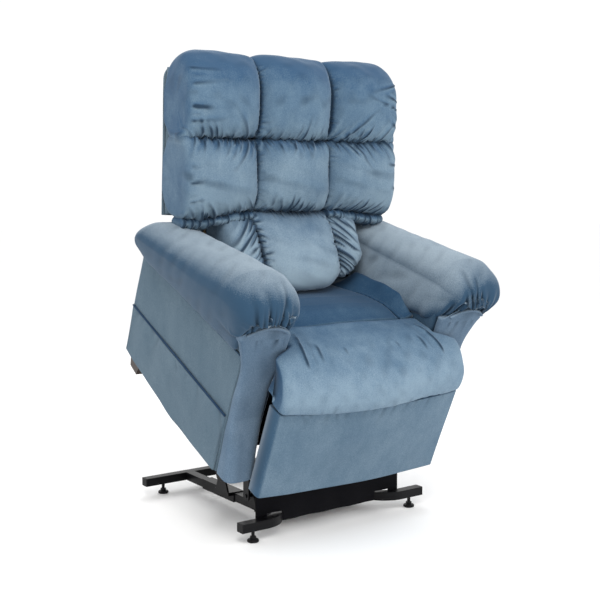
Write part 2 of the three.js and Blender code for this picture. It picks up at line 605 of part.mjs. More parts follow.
function backShell() {
  const { halfW, shoulder, lowHalfW, thick } = SHELL;
  const top = BACK.top + 10;
  const side = [
    [lowHalfW, 46], [lowHalfW, shoulder], [halfW, shoulder], [halfW - 6, top - 60], [halfW - 40, top],
  ];
  const shape = outline([...side, ...side.map(([x, z]) => [-x, z]).reverse()]);
  return slabY(shape, half + GAP, half + GAP + thick);
}

// A back cushion: its side profile, as [distance forward, height], across the width of the back.
const FRAME_FACE = half + 2;
const cushion = (halfW, profile) => slabX(outline(profile.map(([n, s]) => [-n, s])), -halfW, halfW);

const lumbar = cushion(LUMBAR.halfW, [[FRAME_FACE, LUMBAR.s0 + 4], [FRAME_FACE, LUMBAR.s1], [102, LUMBAR.s1],
  [172, LUMBAR.s1 - 60], [236, LUMBAR.s0 + 62], [258, LUMBAR.s0 + 22], [240, LUMBAR.s0 + 4]]);
const middle = cushion(WIDE, [[FRAME_FACE, MIDDLE.s0], [FRAME_FACE, MIDDLE.s1], [130, MIDDLE.s1],
  [166, MIDDLE.s1 - 40], [174, MIDDLE.s0 + 60], [112, MIDDLE.s0]]);
const head = cushion(WIDE, [[FRAME_FACE, HEAD.s0], [FRAME_FACE, HEAD.s1 - 12], [52, HEAD.s1], [104, HEAD.s1 - 16],
  [158, HEAD.s1 - 76], [172, HEAD.s0 + 70], [130, HEAD.s0]]);

add(backrest, "back_frame", backFrame(), wood);
add(backrest, "back_shell", backShell(), velvet);
add(backrest, "lumbar_cushion", lumbar, velvet);
add(backrest, "middle_cushion", middle, velvet);
add(backrest, "head_cushion", head, velvet);
actuator(chair, "recline_actuator", RECLINE_MOTOR, fromBack(RECLINE_LEVER.y, RECLINE_LEVER.z), RECLINE_MOTOR.x,
  192, 152, 1);

// ---------- pivots and travels, for whoever joins the parts ----------
root.userData = {
  raised, seated, distance, bearing, armTop, linkTop, restElbow, restLever, fromBack,
  REAR_PIVOT, FRONT_PIVOT, LIFT_MOTOR, LIFT_ROD, RECLINE_MOTOR, RECLINE_LEVER, REST_MOTOR, REST_AXIS,
  LINK_A, LINK_B, BACK, LIFT, ORIGIN_Y, BASE, FOOT, TUBE, CURTAIN,
};

export default root;
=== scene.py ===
import json
import math

import bmesh
import bpy
import numpy as np
from mathutils import Matrix, Vector


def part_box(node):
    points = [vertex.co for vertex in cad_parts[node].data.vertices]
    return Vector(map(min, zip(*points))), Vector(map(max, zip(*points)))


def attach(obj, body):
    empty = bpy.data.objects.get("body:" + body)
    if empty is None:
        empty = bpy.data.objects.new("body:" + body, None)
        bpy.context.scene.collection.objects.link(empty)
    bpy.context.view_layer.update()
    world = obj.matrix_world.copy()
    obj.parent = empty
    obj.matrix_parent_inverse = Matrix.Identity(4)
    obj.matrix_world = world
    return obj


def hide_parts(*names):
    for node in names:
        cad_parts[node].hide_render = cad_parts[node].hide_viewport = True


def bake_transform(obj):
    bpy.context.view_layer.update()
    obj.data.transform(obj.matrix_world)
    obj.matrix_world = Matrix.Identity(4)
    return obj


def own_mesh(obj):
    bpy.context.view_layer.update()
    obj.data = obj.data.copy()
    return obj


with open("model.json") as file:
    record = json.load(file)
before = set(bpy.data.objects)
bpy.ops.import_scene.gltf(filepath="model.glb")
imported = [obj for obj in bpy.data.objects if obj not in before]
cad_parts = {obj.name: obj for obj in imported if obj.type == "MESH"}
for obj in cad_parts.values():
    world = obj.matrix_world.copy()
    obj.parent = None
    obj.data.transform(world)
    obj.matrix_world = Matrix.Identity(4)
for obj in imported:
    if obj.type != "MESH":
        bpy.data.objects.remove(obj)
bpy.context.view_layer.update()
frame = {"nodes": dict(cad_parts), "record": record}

joints = {j["name"]: j for j in frame["record"]["behaviour"]["joints"]}
tau = 2 * math.pi

# ---------- camera ----------
cam = bpy.data.cameras.new("camera")
cam.sensor_width = 36
cam.lens = 62.3
cam.shift_x, cam.shift_y = 0.0202, 0.0407
camera = bpy.data.objects.new("camera", cam)
bpy.context.collection.objects.link(camera)
camera.location = (-1.815, -2.585, 0.9626)
aim = Vector((0.0404, 0.113, 0.5653)) - camera.location
camera_roll = Matrix.Rotation(math.radians(-0.36), 3, "Z")
camera.rotation_euler = (aim.to_track_quat("-Z", "Y").to_matrix() @ camera_roll).to_euler()
bpy.context.scene.camera = camera

# ---------- the chair's own frame (seat level), found from two of its pivots ----------
HINGE = np.array([0.169, 0.306])  # backrest hinge, (y, z) in the chair
SWING = np.array([-0.452, 0.494])  # footrest's swing line
hinge_at = np.array(joints["recline"]["pos_m"][1:])
swing_at = np.array(joints["footrest_raise"]["pos_m"][1:])
TILT = math.atan2(*(swing_at - hinge_at)[::-1]) - math.atan2(*(SWING - HINGE)[::-1])
LEAN = math.radians(19.5)  # the back's lean from upright


def turned(yz, about, angle, to):
    """(y, z) points turned about one point and moved so that it lands on another."""
    y, z = yz[..., 0] - about[0], yz[..., 1] - about[1]
    c, s = math.cos(angle), math.sin(angle)
    return np.stack([to[0] + y * c - z * s, to[1] + y * s + z * c], -1)


def chair(points):
    """(x, y, z) in the chair's frame to the row frame."""
    p = np.asarray(points, float)
    return np.concatenate([p[..., :1], turned(p[..., 1:], HINGE, TILT, hinge_at)], -1)


def back(points):
    """(x, forward, up the back) to the row frame."""
    p = np.asarray(points, float)
    yz = turned(np.stack([-p[..., 1], p[..., 2]], -1), (0, 0), -LEAN, HINGE)
    return chair(np.concatenate([p[..., :1], yz], -1))


# ---------- shapes ----------
def smooth(x, a, b):
    """0 before a, 1 after b, an even S between them."""
    t = np.clip((x - a) / (b - a), 0, 1)
    return t * t * (3 - 2 * t)


def left_or_right(side):
    return "left" if side > 0 else "right"


def power(v, e):
    """|v|**e with v's sign, for superellipses."""
    return np.sign(v) * np.abs(v) ** e


def lumps(p, size, seed, waves=9):
    """Soft unevenness, about -1 to 1, with bumps of about the given size."""
    rng = np.random.default_rng(seed)
    out = np.zeros(p.shape[:-1])
    for _ in range(waves):
        k = rng.normal(size=3)
        k *= tau / size / np.linalg.norm(k) * rng.uniform(0.6, 1.3)
        out += np.sin(p @ k + rng.uniform(0, tau))
    return out / math.sqrt(waves)


def pleats(a, t, span, seed, gap=0.013, depth=0.003, width=0.004, reach=(0.03, 0.08), slant=0.0, spread=0.25):
    """Folds that run away from a seam: a is the place along it, t the distance from it."""
    rng = np.random.default_rng(seed)
    out = np.zeros(a.shape)
    for base in np.arange(span[0], span[1], gap):
        at = base + rng.uniform(-0.4, 0.4) * gap
        d = depth * rng.uniform(0.35, 1.25)
        w = width * rng.uniform(0.7, 1.4)
        far = reach[0] + (reach[1] - reach[0]) * rng.uniform(0, 1) ** 1.8
        k = (slant(at) if callable(slant) else slant) + rng.normal() * spread
        live = (t > -0.004) & (t < far) & (np.abs(a - at) < 0.02 + abs(k) * far + 5 * w)
        tt = np.clip(t[live], 0, None)
        u = (a[live] - at - k * tt) / (w * (1 + 0.9 * tt / far))
        fade = (1 - tt / far) ** 1.4
        out[live] += d * fade * (0.5 * (np.exp(-((u - 1.7) ** 2)) + np.exp(-((u + 1.7) ** 2))) - np.exp(-u * u))
    return out


def groove(d, width, depth):
    """A soft channel along d = 0."""
    return -depth * np.exp(-((d / width) ** 2))


def normals(p, closed):
    """Outward-ish unit normals of a grid of points, rows open, columns closed if asked."""
    du = np.gradient(p, axis=0)
    dv = (np.roll(p, -1, 1) - np.roll(p, 1, 1)) if closed else np.gradient(p, axis=1)
    n = np.cross(du, dv)
    return n / np.maximum(np.linalg.norm(n, axis=-1, keepdims=True), 1e-12)


FULL_CREASE = 0.0017  # a dip this deep gets the darkest painted crease shade


def creases(b, closed):
    """Where the skin dips below its surroundings, 0 to 1: how much shade is painted into its creases."""
    steps = range(-4, 5, 2)
    rows, cols = np.arange(b.shape[0]), np.arange(b.shape[1])
    total = np.zeros_like(b)
    for r in steps:
        for c in steps:
            moved = b[np.clip(rows + r, 0, len(rows) - 1)]
            total += np.roll(moved, c, 1) if closed else moved[:, np.clip(cols + c, 0, len(cols) - 1)]
    return np.clip((total / len(steps) ** 2 - b) / FULL_CREASE, 0, 1)


def new_object(name, verts, faces, material, body, crease_shade=None):
    """A smooth-shaded mesh that rides body, unless body is None."""
    mesh = bpy.data.meshes.new(name)
    mesh.from_pydata(np.asarray(verts).tolist(), [], faces)
    # painted shade for the creases is stored on the mesh for the material to darken
    if crease_shade is not None:
        depth = mesh.attributes.new("painted_crease_shade", "FLOAT", "POINT")
        depth.data.foreach_set("value", crease_shade.astype(np.float32))
    mesh.validate()
    mesh.update()
    for polygon in mesh.polygons:
        polygon.use_smooth = True
    mesh.materials.append(material)
    obj = bpy.data.objects.new(name, mesh)
    bpy.context.collection.objects.link(obj)
    if body:
        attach(obj, body)
    return obj


def strip_faces(rows, cols, closed, flip=False, start=0):
    """Quads between the rows of a grid of points; closed joins the last column to the first."""
    r = np.arange(rows - 1)[:, None]
    c = np.arange(cols if closed else cols - 1)[None, :]
    n = (c + 1) % cols
    quad = np.stack([r * cols + c, r * cols + n, (r + 1) * cols + n, (r + 1) * cols + c], -1)
    quad = quad.reshape(-1, 4) + start
    return quad[:, ::-1] if flip else quad


def fix_normals(obj):
    """Joins points that coincide and turns every face outward."""
    bm = bmesh.new()
    bm.from_mesh(obj.data)
    bmesh.ops.remove_doubles(bm, verts=bm.verts, dist=1e-5)
    bmesh.ops.recalc_face_normals(bm, faces=bm.faces)
    bm.to_mesh(obj.data)
    bm.free()


def loft(name, p, material, body, flip=False, place=chair, bump=None, dark=None):
    """A closed form from rings p[row, around], each end drawn in to a point.

    bump(p) moves the skin outward, and dark(p) adds to the shade painted into its creases.
    """
    rows, cols = p.shape[:2]
    crease_shade = np.zeros((rows, cols))
    if bump is not None:
        b = bump(p)
        crease_shade = creases(b, True)
        if dark is not None:
            crease_shade = np.maximum(crease_shade, dark(p))
        p = p + normals(p, True) * (-1 if flip else 1) * b[..., None]
    ends = [p[0].mean(0), p[-1].mean(0)]
    verts = place(np.concatenate([p.reshape(-1, 3), ends]))
    faces = strip_faces(rows, cols, True, flip).tolist()
    for end, row, turn in ((rows * cols, 0, flip), (rows * cols + 1, rows - 1, not flip)):
        for c in range(cols):
            tri = [end, row * cols + (c + 1) % cols, row * cols + c]
            faces.append(tri if turn == (row != 0) else tri[::-1])
    crease_shade = np.concatenate([crease_shade.ravel(), [0, 0]])
    obj = new_object(name, verts, faces, material, body, crease_shade=crease_shade)
    fix_normals(obj)
    return obj


def slab(name, mid, out, thick, material, body, place=chair, under=None, bump=None):
    """A padded board: a grid mid[u, v] thickened by thick along out, and by under the other way."""
    p = np.asarray(mid, float)
    out = np.asarray(out, float)
    rows, cols = p.shape[:2]
    top = p + out * thick[..., None]
    crease_shade = np.zeros(p.shape[:2])
    if bump is not None:
        edge = np.minimum(1, thick / (thick.max() * 0.6))
        b = bump(p) * edge
        # the dips of the bump get painted crease shade
        crease_shade = creases(b, False)
        top = top + out * b[..., None]
    low = p - out * (under if under is not None else thick * 0)[..., None]
    verts = place(np.concatenate([top.reshape(-1, 3), low.reshape(-1, 3)]))
    faces = strip_faces(rows, cols, False).tolist()
    faces += strip_faces(rows, cols, False, True, rows * cols).tolist()
    border = [(0, c, 0, c + 1) for c in range(cols - 1)]
    border += [(rows - 1, c, rows - 1, c + 1) for c in range(cols - 1)]
    border += [(r, 0, r + 1, 0) for r in range(rows - 1)]
    border += [(r, cols - 1, r + 1, cols - 1) for r in range(rows - 1)]
    for r0, c0, r1, c1 in border:
        a, b = r0 * cols + c0, r1 * cols + c1
        faces.append([a, b, b + rows * cols, a + rows * cols])
    crease_shade = np.concatenate([crease_shade.ravel(), 0 * crease_shade.ravel()])
    obj = new_object(name, verts, faces, material, body, crease_shade=crease_shade)
    fix_normals(obj)
    return obj


def rim(n, soft, e=2.5):
    """0 at both ends of n places, 1 in between, round at the shoulders."""
    t = np.clip((np.abs(np.linspace(-1, 1, n)) - (1 - soft)) / soft, 0, 1)
    return (1 - t**e) ** (1 / e)


def spaced(n, dense):
    """n places from 0 to 1, closer together at both ends."""
    t = np.linspace(0, 1, n)
    return (1 - dense) * t + dense * (0.5 - 0.5 * np.cos(math.pi * t))


def tube(name, path, radius, material, body, sides=8):
    """A thin round cord along a path of points in the chair's frame, such as a welt."""
    p = chair(np.asarray(path, float))
    d = np.gradient(p, axis=0)
    d /= np.linalg.norm(d, axis=1, keepdims=True)
    across_any_path = np.array([0.31, 0.22, 0.92])
    u = np.cross(d, across_any_path)
    u /= np.linalg.norm(u, axis=1, keepdims=True)
    v = np.cross(d, u)
    a = np.linspace(0, tau, sides, endpoint=False)
    ring = u[:, None] * np.cos(a)[None, :, None] + v[:, None] * np.sin(a)[None, :, None]
    pts = p[:, None] + ring * radius
    rows, cols = pts.shape[:2]
    verts = pts.reshape(-1, 3)
    faces = strip_faces(rows, cols, True).tolist()
    faces += [list(range(cols)), list(range((rows - 1) * cols, rows * cols))]
    obj = new_object(name, verts, faces, material, body)
    fix_normals(obj)
    return obj


def resample(points, n):
    """n points evenly spaced along a path of points."""
    p = np.asarray(points, float)
    s = np.concatenate([[0], np.cumsum(np.linalg.norm(np.diff(p, axis=0), axis=1))])
    t = np.linspace(0, s[-1], n)
    return np.stack([np.interp(t, s, p[:, k]) for k in range(p.shape[1])], -1)


def ring_through(points, n):
    """A smooth closed curve through the points, as n evenly spaced ones."""
    p = np.asarray(points, float)
    q = np.concatenate([p[-1:], p, p[:2]])
    t = np.linspace(0, 1, 24, endpoint=False)[:, None]
    out = []
    for i in range(1, len(q) - 2):
        a, b, c, d = q[i - 1], q[i], q[i + 1], q[i + 2]
        square, cube = 2 * a - 5 * b + 4 * c - d, 3 * b - a - 3 * c + d
        out.append(0.5 * (2 * b + (c - a) * t + square * t**2 + cube * t**3))
    out = np.concatenate(out)
    return resample(np.concatenate([out, out[:1]]), n + 1)[:-1]


# ---------- materials ----------
def node_tree(name):
    m = bpy.data.materials.new(name)
    m.use_nodes = True
    nodes, links = m.node_tree.nodes, m.node_tree.links
    return m, nodes, links, nodes["Principled BSDF"]


def noise(nodes, links, coord, scale, detail=4.0, rough=0.6, stretch=None):
    n = nodes.new("ShaderNodeTexNoise")
    n.inputs["Scale"].default_value = scale
    n.inputs["Detail"].default_value = detail
    n.inputs["Roughness"].default_value = rough
    if stretch:
        mapping = nodes.new("ShaderNodeMapping")
        mapping.inputs["Scale"].default_value = stretch
        links.new(coord, mapping.inputs["Vector"])
        coord = mapping.outputs["Vector"]
    links.new(coord, n.inputs["Vector"])
    return n.outputs["Fac"]


def ramp(nodes, links, fac, stops):
    r = nodes.new("ShaderNodeValToRGB")
    while len(r.color_ramp.elements) < len(stops):
        r.color_ramp.elements.new(0.5)
    for e, (at, c) in zip(r.color_ramp.elements, stops):
        e.position = at
        e.color = (*c, 1)
    links.new(fac, r.inputs["Fac"])
    return r.outputs["Color"]


def mix(nodes, links, fac, a, b):
    m = nodes.new("ShaderNodeMix")
    m.data_type = "RGBA"
    for value, socket in ((fac, m.inputs[0]), (a, m.inputs[6]), (b, m.inputs[7])):
        if isinstance(value, (int, float)):
            socket.default_value = value
        elif isinstance(value, tuple):
            socket.default_value = (*value, 1)
        else:
            links.new(value, socket)
    return m.outputs[2]


def math_node(nodes, links, op, *values):
    m = nodes.new("ShaderNodeMath")
    m.operation = op
    for i, v in enumerate(values):
        if isinstance(v, (int, float)):
            m.inputs[i].default_value = v
        else:
            links.new(v, m.inputs[i])
    return m.outputs[0]


def add_bump(nodes, links, bsdf, height, strength, distance):
    b = nodes.new("ShaderNodeBump")
    b.inputs["Strength"].default_value = strength
    b.inputs["Distance"].default_value = distance
    links.new(height, b.inputs["Height"])
    links.new(b.outputs["Normal"], bsdf.inputs["Normal"])


def velvet_material(name, lit_facing, deep=(0.034, 0.080, 0.150), light=(0.235, 0.315, 0.385),
                    painted_light_shift=0.0, painted_light_gain=0.62, cloudy=1.0):
    """Crushed velvet with painted light and shade: paler where the skin faces the given lit direction, brushed in
    cloudy strokes, with painted shade in its creases.
    """
    m, nodes, links, bsdf = node_tree(name)
    coords = nodes.new("ShaderNodeTexCoord")
    obj = coords.outputs["Object"]
    dot = nodes.new("ShaderNodeVectorMath")
    dot.operation = "DOT_PRODUCT"
    links.new(coords.outputs["Normal"], dot.inputs[0])
    dot.inputs[1].default_value = tuple(Vector(lit_facing).normalized())
    cloud = noise(nodes, links, obj, 7.5, 5.0, 0.62)
    brushed = noise(nodes, links, obj, 26.0, 6.0, 0.7, stretch=(1.0, 1.0, 0.35))
    grain = noise(nodes, links, obj, 330.0, 3.0, 0.85)
    # painted light and shade: the skin is painted paler the more it faces the lit direction, and the shift sets how
    # lit the whole region is painted
    fac = math_node(nodes, links, "MULTIPLY_ADD", dot.outputs["Value"], painted_light_gain, 0.36 + painted_light_shift)
    for texture, spread in ((cloud, 0.8 * cloudy), (brushed, 0.6 * cloudy), (grain, 0.95)):
        around_zero = math_node(nodes, links, "MULTIPLY_ADD", texture, spread, -0.5 * spread)
        fac = math_node(nodes, links, "ADD", fac, around_zero)
    middle = tuple(0.5 * (a + b) - 0.012 for a, b in zip(deep, light))
    colour = ramp(nodes, links, fac, [(0.05, deep), (0.5, middle), (0.95, light)])
    # painted shade: the creases and seams are darkened in the colour
    crease_shade = nodes.new("ShaderNodeAttribute")
    crease_shade.attribute_name = "painted_crease_shade"
    shade = math_node(nodes, links, "MULTIPLY", crease_shade.outputs["Fac"], 0.92)
    colour = mix(nodes, links, shade, colour, tuple(0.36 * c for c in deep))
    links.new(colour, bsdf.inputs["Base Color"])
    bsdf.inputs["Roughness"].default_value = 0.82
    bsdf.inputs["Specular IOR Level"].default_value = 0.12
    bsdf.inputs["Sheen Weight"].default_value = 0.26
    bsdf.inputs["Sheen Roughness"].default_value = 0.38
    bsdf.inputs["Sheen Tint"].default_value = (0.72, 0.82, 0.92, 1)
    pile = math_node(nodes, links, "ADD", math_node(nodes, links, "MULTIPLY", grain, 0.5), brushed)
    add_bump(nodes, links, bsdf, pile, 0.35, 0.0012)
    return m


def steel_material(name, base, rough, metal, wear):
    m, nodes, links, bsdf = node_tree(name)
    obj = nodes.new("ShaderNodeTexCoord").outputs["Object"]
    orange_peel = noise(nodes, links, obj, 900.0, 2.0, 0.5)
    smear = noise(nodes, links, obj, 14.0, 6.0, 0.65)
    colour = mix(nodes, links, math_node(nodes, links, "GREATER_THAN", smear, 0.67), base, wear)
    links.new(colour, bsdf.inputs["Base Color"])
    if metal < 0.5:
        bsdf.inputs["Specular IOR Level"].default_value = 0.14
    bsdf.inputs["Metallic"].default_value = metal
    links.new(math_node(nodes, links, "MULTIPLY_ADD", smear, 0.22, rough - 0.11), bsdf.inputs["Roughness"])
    add_bump(nodes, links, bsdf, orange_peel, 0.25, 0.0004)
    return m


def wood_material(name, dark, light, gloss):
    m, nodes, links, bsdf = node_tree(name)
    obj = nodes.new("ShaderNodeTexCoord").outputs["Object"]
    grain = noise(nodes, links, obj, 9.0, 8.0, 0.62, stretch=(9.0, 1.0, 9.0))
    links.new(ramp(nodes, links, grain, [(0.3, dark), (0.7, light)]), bsdf.inputs["Base Color"])
    bsdf.inputs["Roughness"].default_value = gloss
    add_bump(nodes, links, bsdf, grain, 0.3, 0.0008)
    return m


def cloth_material(name, colour, lighter, scale=900.0):
    m, nodes, links, bsdf = node_tree(name)
    obj = nodes.new("ShaderNodeTexCoord").outputs["Object"]
    weave = nodes.new("ShaderNodeTexVoronoi")
    weave.inputs["Scale"].default_value = scale
    links.new(obj, weave.inputs["Vector"])
    links.new(mix(nodes, links, weave.outputs["Distance"], colour, lighter), bsdf.inputs["Base Color"])
    bsdf.inputs["Roughness"].default_value = 0.95
    bsdf.inputs["Specular IOR Level"].default_value = 0.08
    bsdf.inputs["Sheen Weight"].default_value = 0.02
    add_bump(nodes, links, bsdf, weave.outputs["Distance"], 0.3, 0.0006)
    return m


# copies of one velvet, one for each region, each painted lighter or darker for how lit or shaded that region is:
# their lit directions, shifts and colours are painted light and shade
velvet_head = velvet_material("velvet_head", (0.0, -0.45, -0.90), light=(0.190, 0.275, 0.345), painted_light_shift=-0.22,
                              cloudy=0.8)
velvet_back = velvet_material("velvet_back", (0.0, -0.55, -0.85), light=(0.200, 0.280, 0.345), painted_light_shift=-0.06,
                              cloudy=0.8)
velvet_lumbar = velvet_material("velvet_lumbar", (0.0, -0.75, -0.65), light=(0.235, 0.315, 0.380), painted_light_shift=0.10,
                                cloudy=0.8)
velvet_pad = {side: velvet_material("velvet_pad_" + left_or_right(side), (-0.42 * side, 0.30, 0.90),
                                    deep=(0.026, 0.062, 0.110),
                                    light=(0.275, 0.340, 0.395), painted_light_shift=-0.20, painted_light_gain=0.84, cloudy=0.28)
              for side in (1, -1)}
velvet_side = velvet_material("velvet_side", (0.0, -0.5, 0.3), deep=(0.040, 0.080, 0.120),
                              light=(0.185, 0.245, 0.290), painted_light_shift=0.05, painted_light_gain=0.25, cloudy=0.45)
velvet_front = velvet_material("velvet_front", (0.0, -0.4, 0.9), deep=(0.040, 0.084, 0.145),
                               light=(0.205, 0.275, 0.350), painted_light_shift=0.10, painted_light_gain=0.4, cloudy=0.45)
velvet_chaise = velvet_material("velvet_chaise", (0.0, -1.0, -0.22), deep=(0.026, 0.074, 0.145),
                                light=(0.205, 0.290, 0.365), painted_light_shift=-0.20, painted_light_gain=0.66, cloudy=0.7)
velvet_rest = velvet_material("velvet_rest", (0.0, -1.0, -0.25), deep=(0.036, 0.082, 0.140),
                              light=(0.195, 0.270, 0.335), painted_light_shift=-0.48, painted_light_gain=0.66, cloudy=0.6)
velvet_seat = velvet_material("velvet_seat", (0.0, -1.0, -0.6), deep=(0.018, 0.055, 0.112),
                              light=(0.120, 0.190, 0.260), painted_light_shift=-0.22, painted_light_gain=0.5, cloudy=0.7)
velvet_inside = velvet_material("velvet_inside", (0.0, 0.0, 1.0), deep=(0.020, 0.054, 0.100),
                                light=(0.130, 0.190, 0.250), painted_light_shift=-0.10, painted_light_gain=0.3, cloudy=0.5)
# darker velvet for the side welt: the welt is real, its darker colour is painted shade along the seam
velvet_dark = velvet_material("velvet_dark", (0, 0, 1), deep=(0.020, 0.050, 0.100),
                              light=(0.070, 0.125, 0.190), painted_light_shift=-0.1)
# near-black velvet for the pocket's binding: painted shade for the open slit behind it
binding_with_slit_shade = velvet_material("binding_with_slit_shade", (0, 0, 1), deep=(0.012, 0.030, 0.066), light=(0.03, 0.06, 0.11), painted_light_shift=-0.1)
black_steel = steel_material("black_steel_paint", (0.004, 0.004, 0.005), 0.36, 0.0, (0.010, 0.010, 0.011))
zinc = steel_material("zinc_plate", (0.46, 0.46, 0.45), 0.34, 1.0, (0.30, 0.30, 0.29))
plastic = steel_material("black_plastic_moulded", (0.007, 0.007, 0.008), 0.5, 0.0, (0.012, 0.012, 0.013))
plywood = wood_material("plywood", (0.30, 0.19, 0.10), (0.48, 0.34, 0.20), 0.7)
dark_wood = wood_material("dark_stained_wood", (0.016, 0.009, 0.007), (0.040, 0.023, 0.016), 0.4)
curtain_cloth = cloth_material("curtain_cloth", (0.0035, 0.0035, 0.005), (0.009, 0.009, 0.011))

slot_material = {"black_steel": black_steel, "zinc_steel": zinc, "black_plastic": plastic, "wood": plywood,
                 "dark_wood": dark_wood, "black_cloth": curtain_cloth, "velvet": velvet_side}
for part in frame["record"]["subparts"]:
    node = frame["nodes"][part["node"]]
    node.data.materials.clear()
    node.data.materials.append(slot_material[part["material_slot"]])

# ---------- back cushions ----------
FRONT_ROOM = 0.017  # the back frame's face
W = 0.378  # half the width of the back's rows
COLUMN = 0.130  # the seams between their columns
ROW_SEAM, LOW_SEAM = 0.553, 0.345  # up the back: the seams above and below the middle row
LUMBAR_SEAM, LUMBAR_HALF = 0.137, 0.246
WRAP_FROM, WRAP_TO = 0.262, 0.290  # outside the frame's posts the rows reach back to the outside back


def column_places(edges, n):
    """Places across the columns, closest at each seam, with the column's own -1..1 place and its number."""
    theta = np.linspace(-0.5, 0.5, n) * math.pi
    last = len(edges) - 2
    xs, own, which = [], [], []
    for i, (a, b) in enumerate(zip(edges[:-1], edges[1:])):
        t = theta[1:] if i == 0 else theta[1:-1] if i == last else theta
        xs.append((a + b) / 2 + (b - a) / 2 * np.sin(t))
        own.append(np.sin(t))
        which.append(np.full(len(t), i))
    return np.concatenate(xs), np.concatenate(own), np.concatenate(which)


def back_row(name, edges, middle, half, front, around, across, exps=(2.6, 3.2), top_exps=None, shear=0.0,
             seam_depth=0.5,
             drop=0.0, droop=0.0, bump=None, end_e=5.0, wing=0.0, dip=0.07, corner=16.0, low_round=0.0,
             boxed=0.35, wrap=0.0, velvet=None):
    """One row of pillows. middle = (forward, up), half = half its height, front = its bulge before middle.

    exps and top_exps round the section below and above; seam_depth sinks the columns' seams; ends of the row keep
    a share of their depth (boxed), round off at the top (corner) and low down (low_round), and hang lower (droop).
    """
    xs, own, which = column_places(edges, across)
    phi = np.linspace(0, tau, around, endpoint=False)
    top_exps = top_exps or exps
    upper = np.sin(phi) > 0
    c = np.where(upper, power(np.cos(phi), 2 / top_exps[0]), power(np.cos(phi), 2 / exps[0]))
    s = np.where(upper, power(np.sin(phi), 2 / top_exps[1]), power(np.sin(phi), 2 / exps[1]))
    last = len(edges) - 2
    lobe = (1 - np.abs(own) ** 2.3) ** (1 / 1.9)
    outer = ((which == 0) & (own < 0)) | ((which == last) & (own > 0))
    ends = np.where(outer, (1 - np.abs(own) ** end_e) ** (1 / end_e), 1.0)
    high = np.where(outer, (1 - np.abs(own) ** 16) ** (1 / 16), 1.0)
    lobe = np.where(outer, 1 - 0.22 * np.abs(own) ** 3, lobe)
    reach = np.where(which == 1, front, front * (1 - wing)) if last == 2 else np.full(len(xs), front)
    bulge = reach * (1 - seam_depth * (1 - lobe)) * (boxed + (1 - boxed) * ends)
    up = half * (1 - dip * (1 - lobe)) * (0.55 + 0.45 * high)
    square = (boxed + (1 - boxed) * ends) if wrap == 0 else (0.92 + 0.08 * ends)
    wrapped = wrap * smooth(np.abs(xs), WRAP_FROM, WRAP_TO)
    rear = (middle[0] - FRONT_ROOM) * square + wrapped
    n = np.where(c[None, :] > 0, bulge[:, None], rear[:, None]) * c[None, :]
    z = up[:, None] * s[None, :]
    round_top = np.where(outer, (1 - np.abs(own) ** corner) ** (1 / corner), 1.0)
    z = np.where(z > 0, z * (0.30 + 0.70 * round_top)[:, None], z)
    away = np.abs(xs)
    lifted = low_round * (smooth(away, 0.05, LUMBAR_SEAM) ** 2 + 1.6 * smooth(away, 0.150, LUMBAR_HALF))
    z = np.where(z < 0, z * (1 - lifted)[:, None], z)
    z = np.where(z < 0, z * (1 + droop * smooth(away, COLUMN, 0.36)[:, None]), z)
    n = n - shear * z - drop * np.clip(z / half, 0, 1) ** 2
    p = np.stack([np.broadcast_to(xs[:, None], n.shape), middle[0] + n, middle[1] + z], -1)
    p[..., 1] = np.maximum(p[..., 1], (FRONT_ROOM - wrapped)[:, None])

    # painted shade: dark lines along the seams between the columns, on the front only, added to the painted crease
    # shade
    def dark(q):
        line = np.zeros(q.shape[:2])
        for edge in edges[1:-1]:
            line = np.maximum(line, 0.85 * np.exp(-(((q[..., 0] - edge) / 0.0035) ** 2)))
        return line * front_only(q)

    return loft(name, p, velvet or velvet_back, "backrest", place=back, bump=bump, dark=dark)


COLUMNS = [-W, -COLUMN, COLUMN, W]


def side_slant(x):
    """Folds of the outer columns fan outward."""
    return -0.55 if x < -COLUMN else 0.55 if x > COLUMN else 0.0


def front_only(p, n0=0.07, n1=0.12):
    """0 behind the row's widest place, 1 on its front."""
    return smooth(p[..., 1], n0, n1)


def seam_puckers(p, seeds, s0, s1, depth=0.0012):
    """Short gathers on both sides of the seams between the columns."""
    out = 0
    for i, edge in enumerate((-COLUMN, COLUMN)):
        for j, side in enumerate((1, -1)):
            out = out + pleats(p[..., 2], side * (p[..., 0] - edge), (s0, s1), seeds + 7 * i + j, gap=0.011,
                               depth=depth, width=0.003, reach=(0.010, 0.035), spread=0.3)
    return out


def notch(p, s, depth=0.010, tall=0.016):
    """A row's outer corner is pulled in where its seam meets the side."""
    return -depth * smooth(np.abs(p[..., 0]), W - 0.055, W - 0.002) * np.exp(-(((p[..., 2] - s) / tall) ** 2))


def end_folds(p, seed, s0, s1, depth, reach, slant):
    """Folds that run in from the outer edges of the back."""
    out = 0
    for j, side in enumerate((1, -1)):
        t = W - 0.004 - side * p[..., 0]
        out = out + pleats(p[..., 2], t, (s0, s1), seed + j, gap=0.052, depth=depth, width=0.0050, reach=reach,
                           slant=slant, spread=0.22) * smooth(t, 0.0, 0.012) * front_only(p, 0.05, 0.10)
    return out


GATHERED = (-0.37, 0.37)  # across the back, where folds start
FAR = 9.0  # beyond the reach of any fold


def row_gathers(along, t, seed, gap, depth, reach):
    """Folds that run from a row's seam over its pillows, t away from the seam: a few, or many small ones."""
    width = 0.0060 if gap > 0.02 else 0.0044
    return pleats(along, t, GATHERED, seed, gap=gap, depth=depth, width=width, reach=reach, slant=side_slant)


